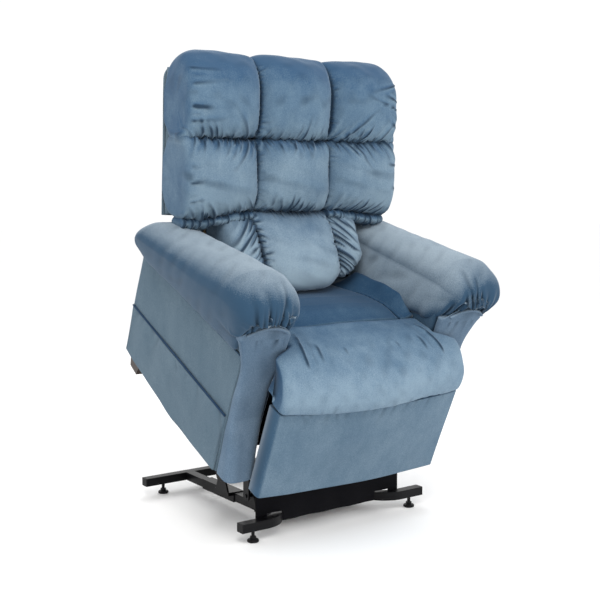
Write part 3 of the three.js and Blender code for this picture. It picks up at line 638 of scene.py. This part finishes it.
def head_bump(p):
    x, s = p[..., 0], p[..., 2]
    f = front_only(p)
    out = row_gathers(x, s - ROW_SEAM, 11, 0.014, 0.0062, (0.022, 0.065))
    out += row_gathers(x, s - ROW_SEAM, 12, 0.048, 0.0066, (0.05, 0.12))
    out = out * f
    out += end_folds(p, 13, 0.585, 0.745, 0.0046, (0.05, 0.17), 0.16)
    out += seam_puckers(p, 15, 0.56, 0.79) * f + notch(p, ROW_SEAM)
    return out + 0.0030 * lumps(p, 0.22, 16) + 0.0010 * lumps(p, 0.06, 17)


def middle_bump(p):
    x, s = p[..., 0], p[..., 2]
    f = front_only(p)
    above_low = s - (LOW_SEAM - 0.020 * smooth(np.abs(x), COLUMN, 0.36))
    out = row_gathers(x, ROW_SEAM - s, 21, 0.014, 0.0060, (0.022, 0.070))
    out += row_gathers(x, ROW_SEAM - s, 22, 0.042, 0.0072, (0.05, 0.12))
    out += pleats(x, above_low, GATHERED, 23, gap=0.014, depth=0.0064, width=0.0046, reach=(0.022, 0.065),
                  slant=side_slant)
    out += row_gathers(x, above_low, 24, 0.044, 0.0062, (0.04, 0.09))
    out = out * f
    out += end_folds(p, 25, 0.37, 0.52, 0.0030, (0.03, 0.08), 0.0)
    out += seam_puckers(p, 27, 0.35, 0.55) * f + notch(p, ROW_SEAM)
    return out + 0.0030 * lumps(p, 0.20, 28) + 0.0010 * lumps(p, 0.06, 29)


def lumbar_bump(p):
    x, s = p[..., 0], p[..., 2]
    out = pleats(x, 0.340 - s, (-0.13, 0.13), 31, gap=0.014, depth=0.0034, width=0.004, reach=(0.015, 0.045))
    wing = smooth(np.abs(x), 0.136, 0.142)
    for j, side in enumerate((1, -1)):
        beyond = side * x - LUMBAR_SEAM
        away = np.where(side * x > 0, beyond, FAR)
        out += wing * pleats(s + 0.95 * beyond, away, (0.10, 0.42), 33 + j, gap=0.014, depth=0.0085,
                             width=0.0046, reach=(0.07, 0.16), slant=0.15, spread=0.16)
        near = np.where(side * x > 0, -beyond, FAR)
        out += pleats(s, near, (0.11, 0.33), 35 + j, gap=0.011, depth=0.0040, width=0.0034,
                      reach=(0.014, 0.045), spread=0.3)
    return out + 0.0026 * lumps(p, 0.20, 38) + 0.0008 * lumps(p, 0.05, 39)


head = back_row("head_pillows", COLUMNS, (0.088, 0.675), 0.126, 0.086, 320, 230, top_exps=(2.2, 2.3),
                drop=0.034, dip=0.10, seam_depth=0.66, corner=4.2, wrap=0.0275, velvet=velvet_head,
                bump=head_bump)
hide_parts("head_cushion")
middle = back_row("middle_pillows", COLUMNS, (0.080, 0.449), 0.110, 0.092, 300, 230, droop=0.16,
                  seam_depth=0.66, wrap=0.0275, bump=middle_bump)
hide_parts("middle_cushion")
lumbar = back_row("lumbar_pillow", [-LUMBAR_HALF, -LUMBAR_SEAM, LUMBAR_SEAM, LUMBAR_HALF], (0.105, 0.228),
                  0.120, 0.112, 300, 190, exps=(2.4, 2.5), shear=0.52, seam_depth=0.42,
                  bump=lumbar_bump, wing=0.24, end_e=3.0, dip=0.03,
                  low_round=0.24, boxed=0.25, velvet=velvet_lumbar)
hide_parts("lumbar_cushion")


def ruffle(side):
    """The gathered band that rolls under the outer edge of the middle row."""
    inner, outer = 0.137, 0.372
    t = np.linspace(0, 1, 190)[1:-1]
    x = inner + (outer - inner) * t
    s = 0.341 - 0.022 * smooth(x, 0.13, 0.36) - 0.010
    cap = (1 - np.abs(2 * t - 1) ** 8) ** (1 / 4)
    phi = np.linspace(0, tau, 60, endpoint=False)
    wave = 0.0035 * lumps(np.stack([x, 0 * x, 0 * x], -1), 0.05, 44 + side)
    tall = (0.0195 + 0.0025 * np.sin(40 * x)) * cap
    deep = 0.048 * cap
    nn = (0.083 - 0.018 * smooth(x, 0.30, outer))[:, None] + deep[:, None] * np.cos(phi) + wave[:, None]
    ss = (s[:, None] + wave[:, None] * 0.6) + tall[:, None] * np.sin(phi)
    p = np.stack(np.broadcast_arrays(side * x[:, None], nn, ss), -1)

    def bump(q):
        out = pleats(side * q[..., 0], 0.002 + 0 * q[..., 0], (inner, outer), 46 + side, gap=0.0190,
                     depth=0.0052, width=0.0046, reach=(0.2, 0.3), spread=0.0)
        return out * smooth(q[..., 1], 0.03, 0.07) + 0.0016 * lumps(q, 0.04, 48 + side)

    piece = loft("ruffle_" + left_or_right(side), p, velvet_back, "backrest", place=back,
                 bump=bump, flip=side < 0)


ruffle(1)
ruffle(-1)


EDGE_N = (-0.0148, 0.0160)  # from the outside back to just inside the cushions' rear


def post_cover(name, x0, x1, s0, s1):
    """Cloth-covered padding that closes a side or the top of the back, behind the cushions."""
    t = spaced(90, 0.4)[1:-1]
    s = s0 + (s1 - s0) * t
    cap = (1 - np.abs(2 * t - 1) ** 10) ** (1 / 10)
    phi = np.linspace(0, tau, 64, endpoint=False)
    cx, cn = power(np.cos(phi), 2 / 6), power(np.sin(phi), 2 / 4)
    xx = (x0 + x1) / 2 + (x1 - x0) / 2 * (0.9 + 0.1 * cap)[:, None] * cx
    n0, n1 = EDGE_N
    nn = (n0 + n1) / 2 + (n1 - n0) / 2 * (0.8 + 0.2 * cap)[:, None] * cn
    p = np.stack(np.broadcast_arrays(xx, nn, s[:, None] + 0 * xx), -1)
    loft(name, p, velvet_side, "backrest", place=back, bump=lambda q: 0.0006 * lumps(q, 0.08, 49))


for side in (1, -1):
    post_cover("back_edge_" + left_or_right(side), *sorted((side * 0.2515, side * 0.369)), 0.326, 0.752)
    post_cover("back_low_edge_" + left_or_right(side), *sorted((side * 0.2512, side * 0.2560)), 0.030, 0.324)
post_cover("back_top_edge", -0.250, 0.250, 0.7465, 0.7580)


def plane(u, v, axes):
    """Grid of points from two lists and a function of the two."""
    uu, vv = np.meshgrid(u, v, indexing="ij")
    return np.stack(np.broadcast_arrays(*axes(uu, vv)), -1)


# outside back panel, wide above the arms and narrow between them
SHELL_N, SHELL_THICK = -0.017, 0.012
SHELL_HALF, SHELL_LOW_HALF, SHELL_TOP = 0.373, 0.245, 0.757
ARM_CLEAR = 0.321  # up the back, where the panel widens
CORNER = 0.040
s_places = np.concatenate([np.linspace(0.030, 0.318, 60), np.linspace(0.324, SHELL_TOP, 110)])
corner_at = 1 - np.sqrt(1 - np.clip((s_places - 0.715) / 0.043, 0, 1) ** 2)
half_at = np.where(s_places < ARM_CLEAR, SHELL_LOW_HALF, SHELL_HALF) - CORNER * corner_at
shell_mid = plane(np.linspace(-1, 1, 170), s_places,
                  lambda u, s: (u * np.interp(s, s_places, half_at), 0 * u + SHELL_N, s))
shell_thick = SHELL_THICK * rim(170, 0.03)[:, None] * rim(170, 0.03)[None, :]


def shell_bump(q):
    x, s = np.abs(q[..., 0]), q[..., 2]
    puff = 0.004 * (1 - np.clip(x / SHELL_HALF, 0, 1) ** 2)
    return 0.0012 * lumps(q, 0.25, 41) + puff + groove(x - 0.345, 0.0025, 0.0022) * (s > 0.33)


shell = slab("outside_back", shell_mid, (0, -1, 0), shell_thick, velvet_side, "backrest", place=back,
             bump=shell_bump)
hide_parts("back_shell")
flap_mid = plane(np.linspace(-1, 1, 120), np.linspace(-0.030, 0.052, 50),
                 lambda u, s: (u * 0.2440, 0 * u + SHELL_N, s))
flap_thick = 0.006 * rim(120, 0.03)[:, None] * rim(50, 0.08)[None, :]
slab("outside_back_flap", flap_mid, (0, -1, 0), flap_thick, velvet_side, "backrest", place=back,
     bump=lambda q: 0.0010 * lumps(q, 0.10, 43))

# ---------- arms ----------
PAD_IN, PAD_OUT, PAD_REAR, PAD_NOSE = 0.264, 0.466, 0.290, -0.345
NOSE_AT, TAIL_AT = -0.215, 0.235  # where the pad's ends start to round off
NOSE_MID = 0.352  # middle of the nose, across
ARCH_TOP, ARCH_BEND = 0.566, 6.0  # the pad's seam over the arm front: its height, less the bend times x squared
PAD_SEAM, SIDE_SEAM = 0.459, 0.460  # height where the pad ends outside, and the seam just above it
ARM_LOW, STILE_REAR = 0.086, -0.2820


def arm_pad(side):
    """Rolled pad along an arm; its rings are closest together round the nose, where it is gathered."""
    turn = np.linspace(0, 0.5 * math.pi, 110)[1:]
    y = np.concatenate([TAIL_AT + (PAD_REAR - TAIL_AT) * np.sin(turn[::-2]) ** (2 / 2.4),
                        np.linspace(TAIL_AT, NOSE_AT, 120)[1:-1],
                        NOSE_AT + (PAD_NOSE - NOSE_AT) * np.sin(turn[:-1]) ** (2 / 2.3)])
    along = (PAD_REAR - y) / (PAD_REAR + 0.24)
    top = 0.597 + (0.694 - 0.597) * np.clip(along, 0, 1.0) ** 1.05
    low = 0.500 + (0.538 - 0.500) * np.clip(along, 0, 1.2)
    nose = np.clip((NOSE_AT - y) / (NOSE_AT - PAD_NOSE), 0, 1)
    nose_up = (1 - nose**2.3) ** (1 / 2.3)
    nose_wide = (1 - nose**4.0) ** (1 / 3.0)
    tail = np.clip((y - TAIL_AT) / (PAD_REAR - TAIL_AT), 0, 1)
    tail_k = (1 - tail**2.4) ** (1 / 2.4)
    wide = (PAD_OUT - PAD_IN) / 2 * (0.93 + 0.07 * np.clip(along, 0, 1))
    wide = wide * (0.26 + 0.74 * nose_wide) * (0.72 + 0.28 * tail_k)
    height = (top - low) / 2 * (0.04 + 0.96 * nose_up) * (0.45 + 0.55 * tail_k)
    base = low + 0.030 * nose**3
    around = 300
    phi = np.linspace(0, tau, around, endpoint=False)
    cx, cz = power(np.cos(phi), 2 / 2.25), power(np.sin(phi), 2 / 2.35)
    xc = (PAD_IN + PAD_OUT) / 2 + 0.006 * (1 - np.clip(along, 0, 1))
    xx = xc[:, None] + wide[:, None] * cx[None, :]
    zz = (base + height)[:, None] + height[:, None] * cz[None, :]
    # both lower sides are drawn down: outside to the panel's seam, inside to the seat
    body = (1 - smooth(nose, 0.15, 0.95)) * (1 - 0.85 * smooth(tail, 0.35, 0.95))
    outside = 7 * math.pi / 4, 0.3965, 0 * y + PAD_SEAM, 1.15
    inner_x = np.interp(y, [-0.22, -0.10], [0.262, 0.254])
    inner_z = np.interp(y, [-0.22, -0.12, 0.05], [0.500, 0.482, 0.452])
    for quarter, at_x, at_z, sharp in (outside, (5 * math.pi / 4, inner_x, inner_z, 0.85)):
        w = np.clip(np.cos(2 * (phi - quarter)), 0, 1) ** sharp * (np.abs(phi - quarter) < math.pi / 4)
        col = int(round(quarter / tau * around))
        shift_x, shift_z = (at_x - xx[:, col]) * body, (at_z - zz[:, col]) * body
        xx = xx + shift_x[:, None] * w[None, :]
        zz = zz + shift_z[:, None] * w[None, :]
    arch = 0.034 * np.clip(1 - ((xx - 0.350) / 0.070) ** 2, 0, 1) * smooth(nose, 0.35, 0.9)[:, None]
    zz = zz + arch * np.clip(-cz, 0, 1)[None, :] ** 0.6
    p = np.stack(np.broadcast_arrays(side * xx, y[:, None] + 0 * xx, zz), -1)

    def bump(q):
        x, y, z = side * q[..., 0] - NOSE_MID, q[..., 1], q[..., 2]
        arch = ARCH_TOP - ARCH_BEND * x**2
        t = np.hypot(np.clip(y + 0.330, 0, 1) * 0.9, z - arch) * np.sign(z - arch + 1e-4)
        t = np.where(y < -0.12, t, FAR)
        a = x / (1 + 5.0 * np.clip(t, 0, 0.14))  # the folds fan out from the seam
        span = (-0.085, 0.085)
        out = pleats(a, t, span, 51 + side, gap=0.0165, depth=0.0150, width=0.0040, reach=(0.080, 0.180),
                     spread=0.10)
        out += pleats(a, t, span, 54 + side, gap=0.0095, depth=0.0075, width=0.0024, reach=(0.035, 0.095),
                      spread=0.12)
        out *= 0.06 + 0.94 * smooth(t, 0.001, 0.020)
        return out + 0.0016 * lumps(q, 0.20, 57 + side) + 0.0006 * lumps(q, 0.05, 59)

    pad = loft("arm_pad_cushion_" + left_or_right(side), p, velvet_pad[side], "chair", bump=bump, flip=side > 0)
    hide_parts("arm_pad_left" if side > 0 else "arm_pad_right")


def arm_front(side):
    """Padded front of an arm, wider where it meets the pad."""
    n = 150
    z = ARM_LOW + (0.573 - ARM_LOW) * spaced(n, 0.5)[1:-1]
    flare = smooth(z, 0.415, 0.560)
    x0 = 0.294 - 0.026 * smooth(z, 0.36, 0.46)
    x1 = 0.393 + 0.036 * flare
    front = np.interp(z, [ARM_LOW, 0.272, 0.60], [-0.345, -0.307, -0.307]) - 0.006 * flare
    cap = rim(n, 0.04, 2.2)[1:-1]
    phi = np.linspace(0, tau, 150, endpoint=False)
    cx = power(np.cos(phi), 2 / 4.0)
    cy = np.where(np.sin(phi) > 0, power(np.sin(phi), 2 / 2.8), power(np.sin(phi), 2 / 9))
    xm, xh = (x0 + x1) / 2, (x1 - x0) / 2 * (0.80 + 0.20 * cap)
    ym, yh = (front + STILE_REAR) / 2, (STILE_REAR - front) / 2 * (0.80 + 0.20 * cap)
    xx = xm[:, None] + xh[:, None] * cx
    yy = ym[:, None] - yh[:, None] * cy
    # the top follows the pad's arch
    zz = z[:, None] - ARCH_BEND * (xx - NOSE_MID) ** 2 * smooth(z, 0.50, 0.57)[:, None]
    p = np.stack(np.broadcast_arrays(side * xx, yy, zz), -1)

    def bump(q):
        a, t = side * q[..., 0] - 0.345, 0.520 - q[..., 2]
        facing = smooth(-q[..., 1], 0.288, 0.300)
        out = pleats(a, t, (-0.05, 0.06), 61 + side, gap=0.022, depth=0.0012, width=0.006, reach=(0.03, 0.09),
                     spread=0.15)
        return out * facing + 0.0012 * lumps(q, 0.12, 63 + side)

    piece = loft("arm_front_" + left_or_right(side), p, velvet_front, "chair", bump=bump, flip=side > 0)
    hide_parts("arm_front_panel_left" if side > 0 else "arm_front_panel_right")


def side_bottom(y):
    """The side panel's lower edge, and side_top its upper edge under the pad."""
    return np.interp(y, [-0.345, -0.282, -0.025, 0.326], [0.087, 0.087, 0.087, 0.131])


def side_top(y):
    return np.interp(y, [-0.282, 0.284, 0.326], [0.537, 0.505, 0.455])


def side_panel(side):
    y = np.linspace(-0.2815, 0.326, 260)
    v = np.linspace(0, 1, 200)
    mid = plane(y, v, lambda yy, vv: (side * 0.380 + 0 * yy, yy,
                                      side_bottom(yy) + vv * (side_top(yy) - side_bottom(yy))))
    thick = 0.012 * rim(260, 0.010)[:, None] * rim(200, 0.02)[None, :]

    def bump(q):
        y, z = q[..., 1], q[..., 2]
        out = groove(z - SIDE_SEAM, 0.0030, 0.0045)
        out += 0.0030 * (smooth(z, 0.10, 0.25) - smooth(z, 0.33, 0.45)) + 0.0013 * lumps(q, 0.24, 71 + side)
        out += pleats(y, SIDE_SEAM - z, (-0.28, 0.32), 73 + side, gap=0.030, depth=0.0006, width=0.006,
                      reach=(0.02, 0.05))
        return out

    piece = slab("arm_side_" + left_or_right(side), mid, (side, 0, 0), thick, velvet_side, "chair",
                 under=thick * 0 + 0.0096, bump=bump)
    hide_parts("side_panel_left" if side > 0 else "side_panel_right")


def inner_panel(side):
    y = np.linspace(-0.2815, 0.298, 150)
    v = np.linspace(0, 1, 110)
    low, top = 0.151, ([-0.282, 0.284, 0.300], [0.54, 0.506, 0.44])
    mid = plane(y, v, lambda yy, vv: (side * 0.279 + 0 * yy, yy, low + vv * (np.interp(yy, *top) - low)))
    thick = 0.008 * rim(150, 0.02)[:, None] * rim(110, 0.02)[None, :]

    def bump(q):
        puff = 0.012 * smooth(q[..., 2], 0.38, 0.47) * smooth(-q[..., 1], -0.28, -0.15)
        return 0.0012 * lumps(q, 0.15, 77 + side) + puff

    piece = slab("arm_inside_" + left_or_right(side), mid, (-side, 0, 0), thick, velvet_inside, "chair",
                 under=thick * 0 + 0.0085, bump=bump)
    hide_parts("inner_arm_panel_left" if side > 0 else "inner_arm_panel_right")


def arm_back(side):
    """Closes the rear end of an arm between its two panels."""
    u, v = np.linspace(0, 1, 40), np.linspace(0, 1, 90)
    across, rear_y = (0.2895, 0.0785), 0.2930
    mid = plane(u, v, lambda uu, vv: (side * (across[0] + across[1] * uu), 0 * uu + rear_y, 0.150 + 0.345 * vv))
    thick = 0.007 * rim(40, 0.06)[:, None] * rim(90, 0.03)[None, :]
    slab("arm_back_" + left_or_right(side), mid, (0, 1, 0), thick, velvet_side, "chair",
         bump=lambda q: 0.0008 * lumps(q, 0.08, 79 + side))


def arm_welts(side):
    """The rolled seam where the pad meets the arm front, and the one along the side."""
    a = np.linspace(-0.064, 0.064, 50)
    roll = np.stack([side * (NOSE_MID + a), -0.3235 + 2.0 * a**2, ARCH_TOP - 0.0020 - ARCH_BEND * a**2], -1)
    tube("arm_front_welt_" + left_or_right(side), roll, 0.0045, velvet_front, "chair")
    # the side welt is drawn in a darker velvet than the panel: painted shade along the seam
    line = [(side * 0.3945, y, SIDE_SEAM) for y in np.linspace(-0.275, 0.320, 60)]
    tube("arm_welt_" + left_or_right(side), line, 0.0016, velvet_dark, "chair")


for side in (1, -1):
    arm_back(side)
    arm_pad(side)
    arm_front(side)
    side_panel(side)
    inner_panel(side)
    arm_welts(side)

# side pocket with its bound opening; the binding stands for the opening's hem, and its near-black colour is painted
# shade for the open slit behind it
y = np.linspace(-0.278, 0.322, 240)
v = np.linspace(0, 1, 120)
POCKET_LIFT = 0.004  # above the side panel's lower edge


def top_of(yy):
    return 0.270 + (yy + 0.278) / 0.600 * 0.020


def pocket_bump(q):
    y, z = q[..., 1], q[..., 2]
    sag = 0.004 * smooth(z, 0.16, 0.27) * (0.5 + 0.5 * np.cos(tau * y / 0.6))
    folds = pleats(y, top_of(y) - z, (-0.27, 0.31), 82, gap=0.05, depth=0.0012, width=0.012, reach=(0.04, 0.12),
                   spread=0.5)
    return sag + 0.0016 * lumps(q, 0.16, 81) + folds


mid = plane(y, v, lambda yy, vv: (-0.3935 + 0 * yy, yy,
                                  side_bottom(yy) + POCKET_LIFT + vv * (top_of(yy) - side_bottom(yy) - POCKET_LIFT)))
thick = 0.0065 * rim(240, 0.02)[:, None] * rim(120, 0.04)[None, :]
pocket = slab("side_pocket", mid, (-1, 0, 0), thick, velvet_side, "chair", bump=pocket_bump)
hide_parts("side_pocket_right")
binding = [(-0.3985, yy, top_of(yy) + 0.001) for yy in np.linspace(-0.277, 0.321, 80)]
tube("pocket_binding", binding, 0.0034, binding_with_slit_shade, "chair")

# ---------- seat ----------
SEAT_Y = (-0.198, 0.106)
SEAT_HALF, SEAT_LOW = 0.262, 0.372


def seat_height(x, y):
    crown = 0.010 * (1 - (x / SEAT_HALF) ** 4) * smooth(y, -0.20, -0.13)
    return np.interp(y, [-0.20, -0.11, -0.048, 0.108], [0.482, 0.480, 0.472, 0.432]) + crown


u, v = spaced(150, 0.3), spaced(130, 0.3)
mid = plane(u, v, lambda uu, vv: ((2 * uu - 1) * SEAT_HALF, SEAT_Y[0] + vv * (SEAT_Y[1] - SEAT_Y[0]),
                                  0 * uu + SEAT_LOW))
thick = seat_height(mid[..., 0], mid[..., 1]) - SEAT_LOW
thick = thick * rim(150, 0.03)[:, None] * rim(130, 0.02, 3.0)[None, :]


def seat_bump(q):
    x, y = q[..., 0], q[..., 1]
    edge = 0.205 - 0.035 * smooth(y, -0.16, 0.10)
    out = groove(np.abs(x) - edge, 0.004, 0.007)
    out += 0.004 * (1 - np.clip(np.abs(x) / edge, 0, 1) ** 3)
    return out + 0.0020 * lumps(q, 0.20, 91)


seat = slab("seat_cushion_cover", mid, (0, 0, 1), thick, velvet_seat, "chair", bump=seat_bump)
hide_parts("seat_cushion")


def bolster(side):
    """Wedge between the seat and the arm: low and pointed in front, full at the back."""
    front, rear = -0.1985, 0.118
    y = front + (rear - front) * spaced(120, 0.5)[1:-1]
    tip = smooth(y, -0.200, -0.120)
    inner = 0.216 - 0.046 * smooth(y, -0.17, 0.08)
    floor = np.interp(y, [-0.20, -0.05, 0.12], [0.474, 0.456, 0.424])
    high = (0.016 + 0.036 * tip) * (1 - 0.5 * smooth(y, 0.08, 0.12))
    phi = np.linspace(0, tau, 120, endpoint=False)
    cx, cz = power(np.cos(phi), 2 / 2.6), power(np.sin(phi), 2 / 2.2)
    outer = SEAT_HALF - 0.0020
    xm, xh = (inner + outer) / 2, (outer - inner) / 2
    xx = xm[:, None] + xh[:, None] * cx
    rise = smooth((xx - inner[:, None]) / (outer - inner[:, None]), 0.0, 1.0)
    zz = floor[:, None] + high[:, None] * (0.35 + 0.65 * rise) * (cz + 0.4)
    p = np.stack(np.broadcast_arrays(side * xx, y[:, None] + 0 * xx, zz), -1)
    piece = loft("seat_bolster_" + left_or_right(side), p, velvet_seat, "chair", flip=side > 0,
                 bump=lambda q: 0.0016 * lumps(q, 0.10, 95 + side))


bolster(1)
bolster(-1)

# ---------- chaise pad ----------
profile = ring_through([(-0.204, 0.380), (-0.2025, 0.440), (-0.2035, 0.478), (-0.212, 0.4885), (-0.240, 0.4905),
                        (-0.285, 0.491), (-0.335, 0.482), (-0.377, 0.456), (-0.402, 0.420), (-0.412, 0.385),
                        (-0.411, 0.360), (-0.404, 0.3475), (-0.385, 0.3465), (-0.368, 0.350), (-0.364, 0.368),
                        (-0.340, 0.374), (-0.260, 0.374), (-0.215, 0.374)], 320)
centre = np.array([-0.330, 0.415])


def chaise_half(y):
    """Half its width: narrow between the arms, wide in front of them."""
    return SEAT_HALF + 0.060 * smooth(-y, 0.292, 0.336)


xi = spaced(260, 0.75)[1:-1] * 2 - 1
k = (1 - np.clip((np.abs(xi) - 0.93) / 0.07, 0, 1) ** 2.2) ** (1 / 2.2)
yz = centre + (profile[None] - centre) * (0.80 + 0.20 * k)[:, None, None]
belly = 0.036 * (1 - xi**2)[:, None] * smooth(-profile[:, 0], 0.33, 0.41)[None, :]
yy = yz[..., 0] - belly
p = np.stack([xi[:, None] * chaise_half(yy), yy, yz[..., 1]], -1)


def chaise_bump(q):
    x, y, z = q[..., 0], q[..., 1], q[..., 2]
    out = 0.0025 * lumps(q, 0.22, 101) + 0.0006 * lumps(q, 0.05, 102)
    run = np.clip(-y - 0.26, 0, 1) + np.clip(0.49 - z, 0, 1)  # how far over the front edge
    for at, bend, a, b, depth in ((0.218, 0.9, -0.01, 0.16, 0.0042), (0.172, 0.6, 0.04, 0.14, 0.0022),
                                  (0.085, 0.4, 0.06, 0.12, 0.0020)):
        for side in (1, -1):
            d = side * x - at - bend * (0.30 * run - 1.2 * np.clip(run - 0.02, 0, 1) ** 2)
            window = smooth(run, a - 0.005, a + 0.03) * (1 - smooth(run, b - 0.05, b))
            out += groove(d, 0.0070, depth) * window * (y < -0.25)
            out += 0.45 * depth * np.exp(-(((d + 0.016) / 0.010) ** 2)) * window
    out += pleats(x, z - 0.350, (-0.30, 0.30), 103, gap=0.05, depth=0.0008, width=0.008,
                  reach=(0.02, 0.05)) * (y < -0.38)
    return out


chaise = loft("chaise_cushion", p, velvet_chaise, None, bump=chaise_bump)
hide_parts("chaise_pad")
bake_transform(chaise)

# ---------- footrest ----------
u, v = spaced(220, 0.3), spaced(150, 0.3)
REST_Z = (0.067, 0.3435)
REST_HALF, REST_Y = 0.318, -0.387
mid = plane(u, v, lambda uu, vv: ((2 * uu - 1) * REST_HALF, 0 * uu + REST_Y,
                                  REST_Z[0] + vv * (REST_Z[1] - REST_Z[0])))
face = 0.016 + 0.026 * (1 - (mid[..., 0] / 0.315) ** 2) * (0.55 + 0.45 * smooth(mid[..., 2], 0.10, 0.30))
thick = face * rim(220, 0.03)[:, None] * rim(150, 0.05)[None, :]


def footrest_bump(q):
    x, z = q[..., 0], q[..., 2]
    folds = pleats(x, 0.340 - z, (-0.29, 0.29), 112, gap=0.040, depth=0.0010, width=0.008, reach=(0.03, 0.08))
    return 0.0016 * lumps(q, 0.22, 111) + folds


under = 0.036 * (np.abs(mid[..., 0]) > 0.3005)  # the cover goes round the board's sides
footrest = slab("footrest_cover", mid, (0, -1, 0), thick, velvet_rest, "footrest", under=under,
                bump=footrest_bump)
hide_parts("footrest_pad")

# ---------- rear cover under the back ----------
u, v = np.linspace(-1, 1, 160), np.linspace(0, 1, 60)
mid = plane(u, v, lambda uu, vv: (uu * 0.368, 0 * uu + 0.3125, 0.140 + vv * 0.148))
thick = 0.011 * rim(160, 0.02)[:, None] * rim(60, 0.06)[None, :]
cover = slab("rear_cover", mid, (0, 1, 0), thick, velvet_side, "chair",
             bump=lambda q: 0.0012 * lumps(q, 0.2, 121))
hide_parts("rear_cover_panel")

# ---------- curtain in front of the mechanism ----------
low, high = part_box("front_curtain")
nx, nz = 200, 80
uu, vv = np.meshgrid(np.linspace(low[0], high[0], nx), np.linspace(low[2] + 0.001, high[2], nz), indexing="ij")
hang = 1 - 0.5 * (vv - low[2]) / (high[2] - low[2])  # it waves more toward its lower edge
yy = 0.5 * (low[1] + high[1]) + 0.0024 * np.sin(uu * 46 + 1.3 * np.sin(uu * 11)) * hang
front = np.stack([uu, yy, vv], -1)
keep = ~((np.abs(np.abs(uu) - 0.1985) < 0.0235) & (vv < 0.0625))  # notches over the side tubes
half = 0.0009  # half the cloth's thickness
verts = np.concatenate([(front - (0, half, 0)).reshape(-1, 3), (front + (0, half, 0)).reshape(-1, 3)])
cell = keep[:-1, :-1] & keep[1:, :-1] & keep[:-1, 1:] & keep[1:, 1:]
faces = []
for i in range(nx - 1):
    for j in range(nz - 1):
        if not cell[i, j]:
            continue
        a, b, c, d = i * nz + j, (i + 1) * nz + j, (i + 1) * nz + j + 1, i * nz + j + 1
        o = nx * nz
        faces += [[a, b, c, d], [d + o, c + o, b + o, a + o]]
        for e, f, ii, jj in ((a, b, i, j - 1), (c, d, i, j + 1), (d, a, i - 1, j), (b, c, i + 1, j)):
            if not (0 <= ii < nx - 1 and 0 <= jj < nz - 1 and cell[ii, jj]):
                faces.append([e, f, f + o, e + o])
curtain = new_object("curtain", verts, faces, curtain_cloth, "base")
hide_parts("front_curtain")
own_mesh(curtain)

# ---------- floor and light ----------
bpy.ops.mesh.primitive_plane_add(size=60)
floor = bpy.context.object
floor.name = "floor"
m, nodes, links, bsdf = node_tree("studio_floor")
bsdf.inputs["Base Color"].default_value = (0.97, 0.97, 0.97, 1)
bsdf.inputs["Roughness"].default_value = 0.75
floor.data.materials.append(m)

world = bpy.data.worlds.new("studio")
bpy.context.scene.world = world
world.use_nodes = True
world.node_tree.nodes["Background"].inputs["Color"].default_value = (1.0, 1.0, 1.0, 1)
world.node_tree.nodes["Background"].inputs["Strength"].default_value = 1.04


def area_light(name, at, target, size, power, colour):
    data = bpy.data.lights.new(name, "AREA")
    data.shape = "RECTANGLE"
    data.size, data.size_y = size
    data.energy = power
    data.color = colour
    light = bpy.data.objects.new(name, data)
    bpy.context.collection.objects.link(light)
    light.location = at
    light.rotation_euler = (Vector(target) - Vector(at)).to_track_quat("-Z", "Y").to_euler()
    return light


area_light("key", (-1.6, -2.4, 3.4), (0, 0, 0.7), (1.8, 1.8), 70, (1.0, 0.985, 0.96))
area_light("fill", (2.8, -2.2, 1.8), (0, 0, 0.6), (2.2, 2.2), 28, (0.94, 0.97, 1.0))
area_light("rim", (1.2, 2.8, 2.6), (0, 0, 0.8), (2.0, 1.4), 30, (1, 1, 1))
bpy.context.scene.view_settings.view_transform = "Standard"
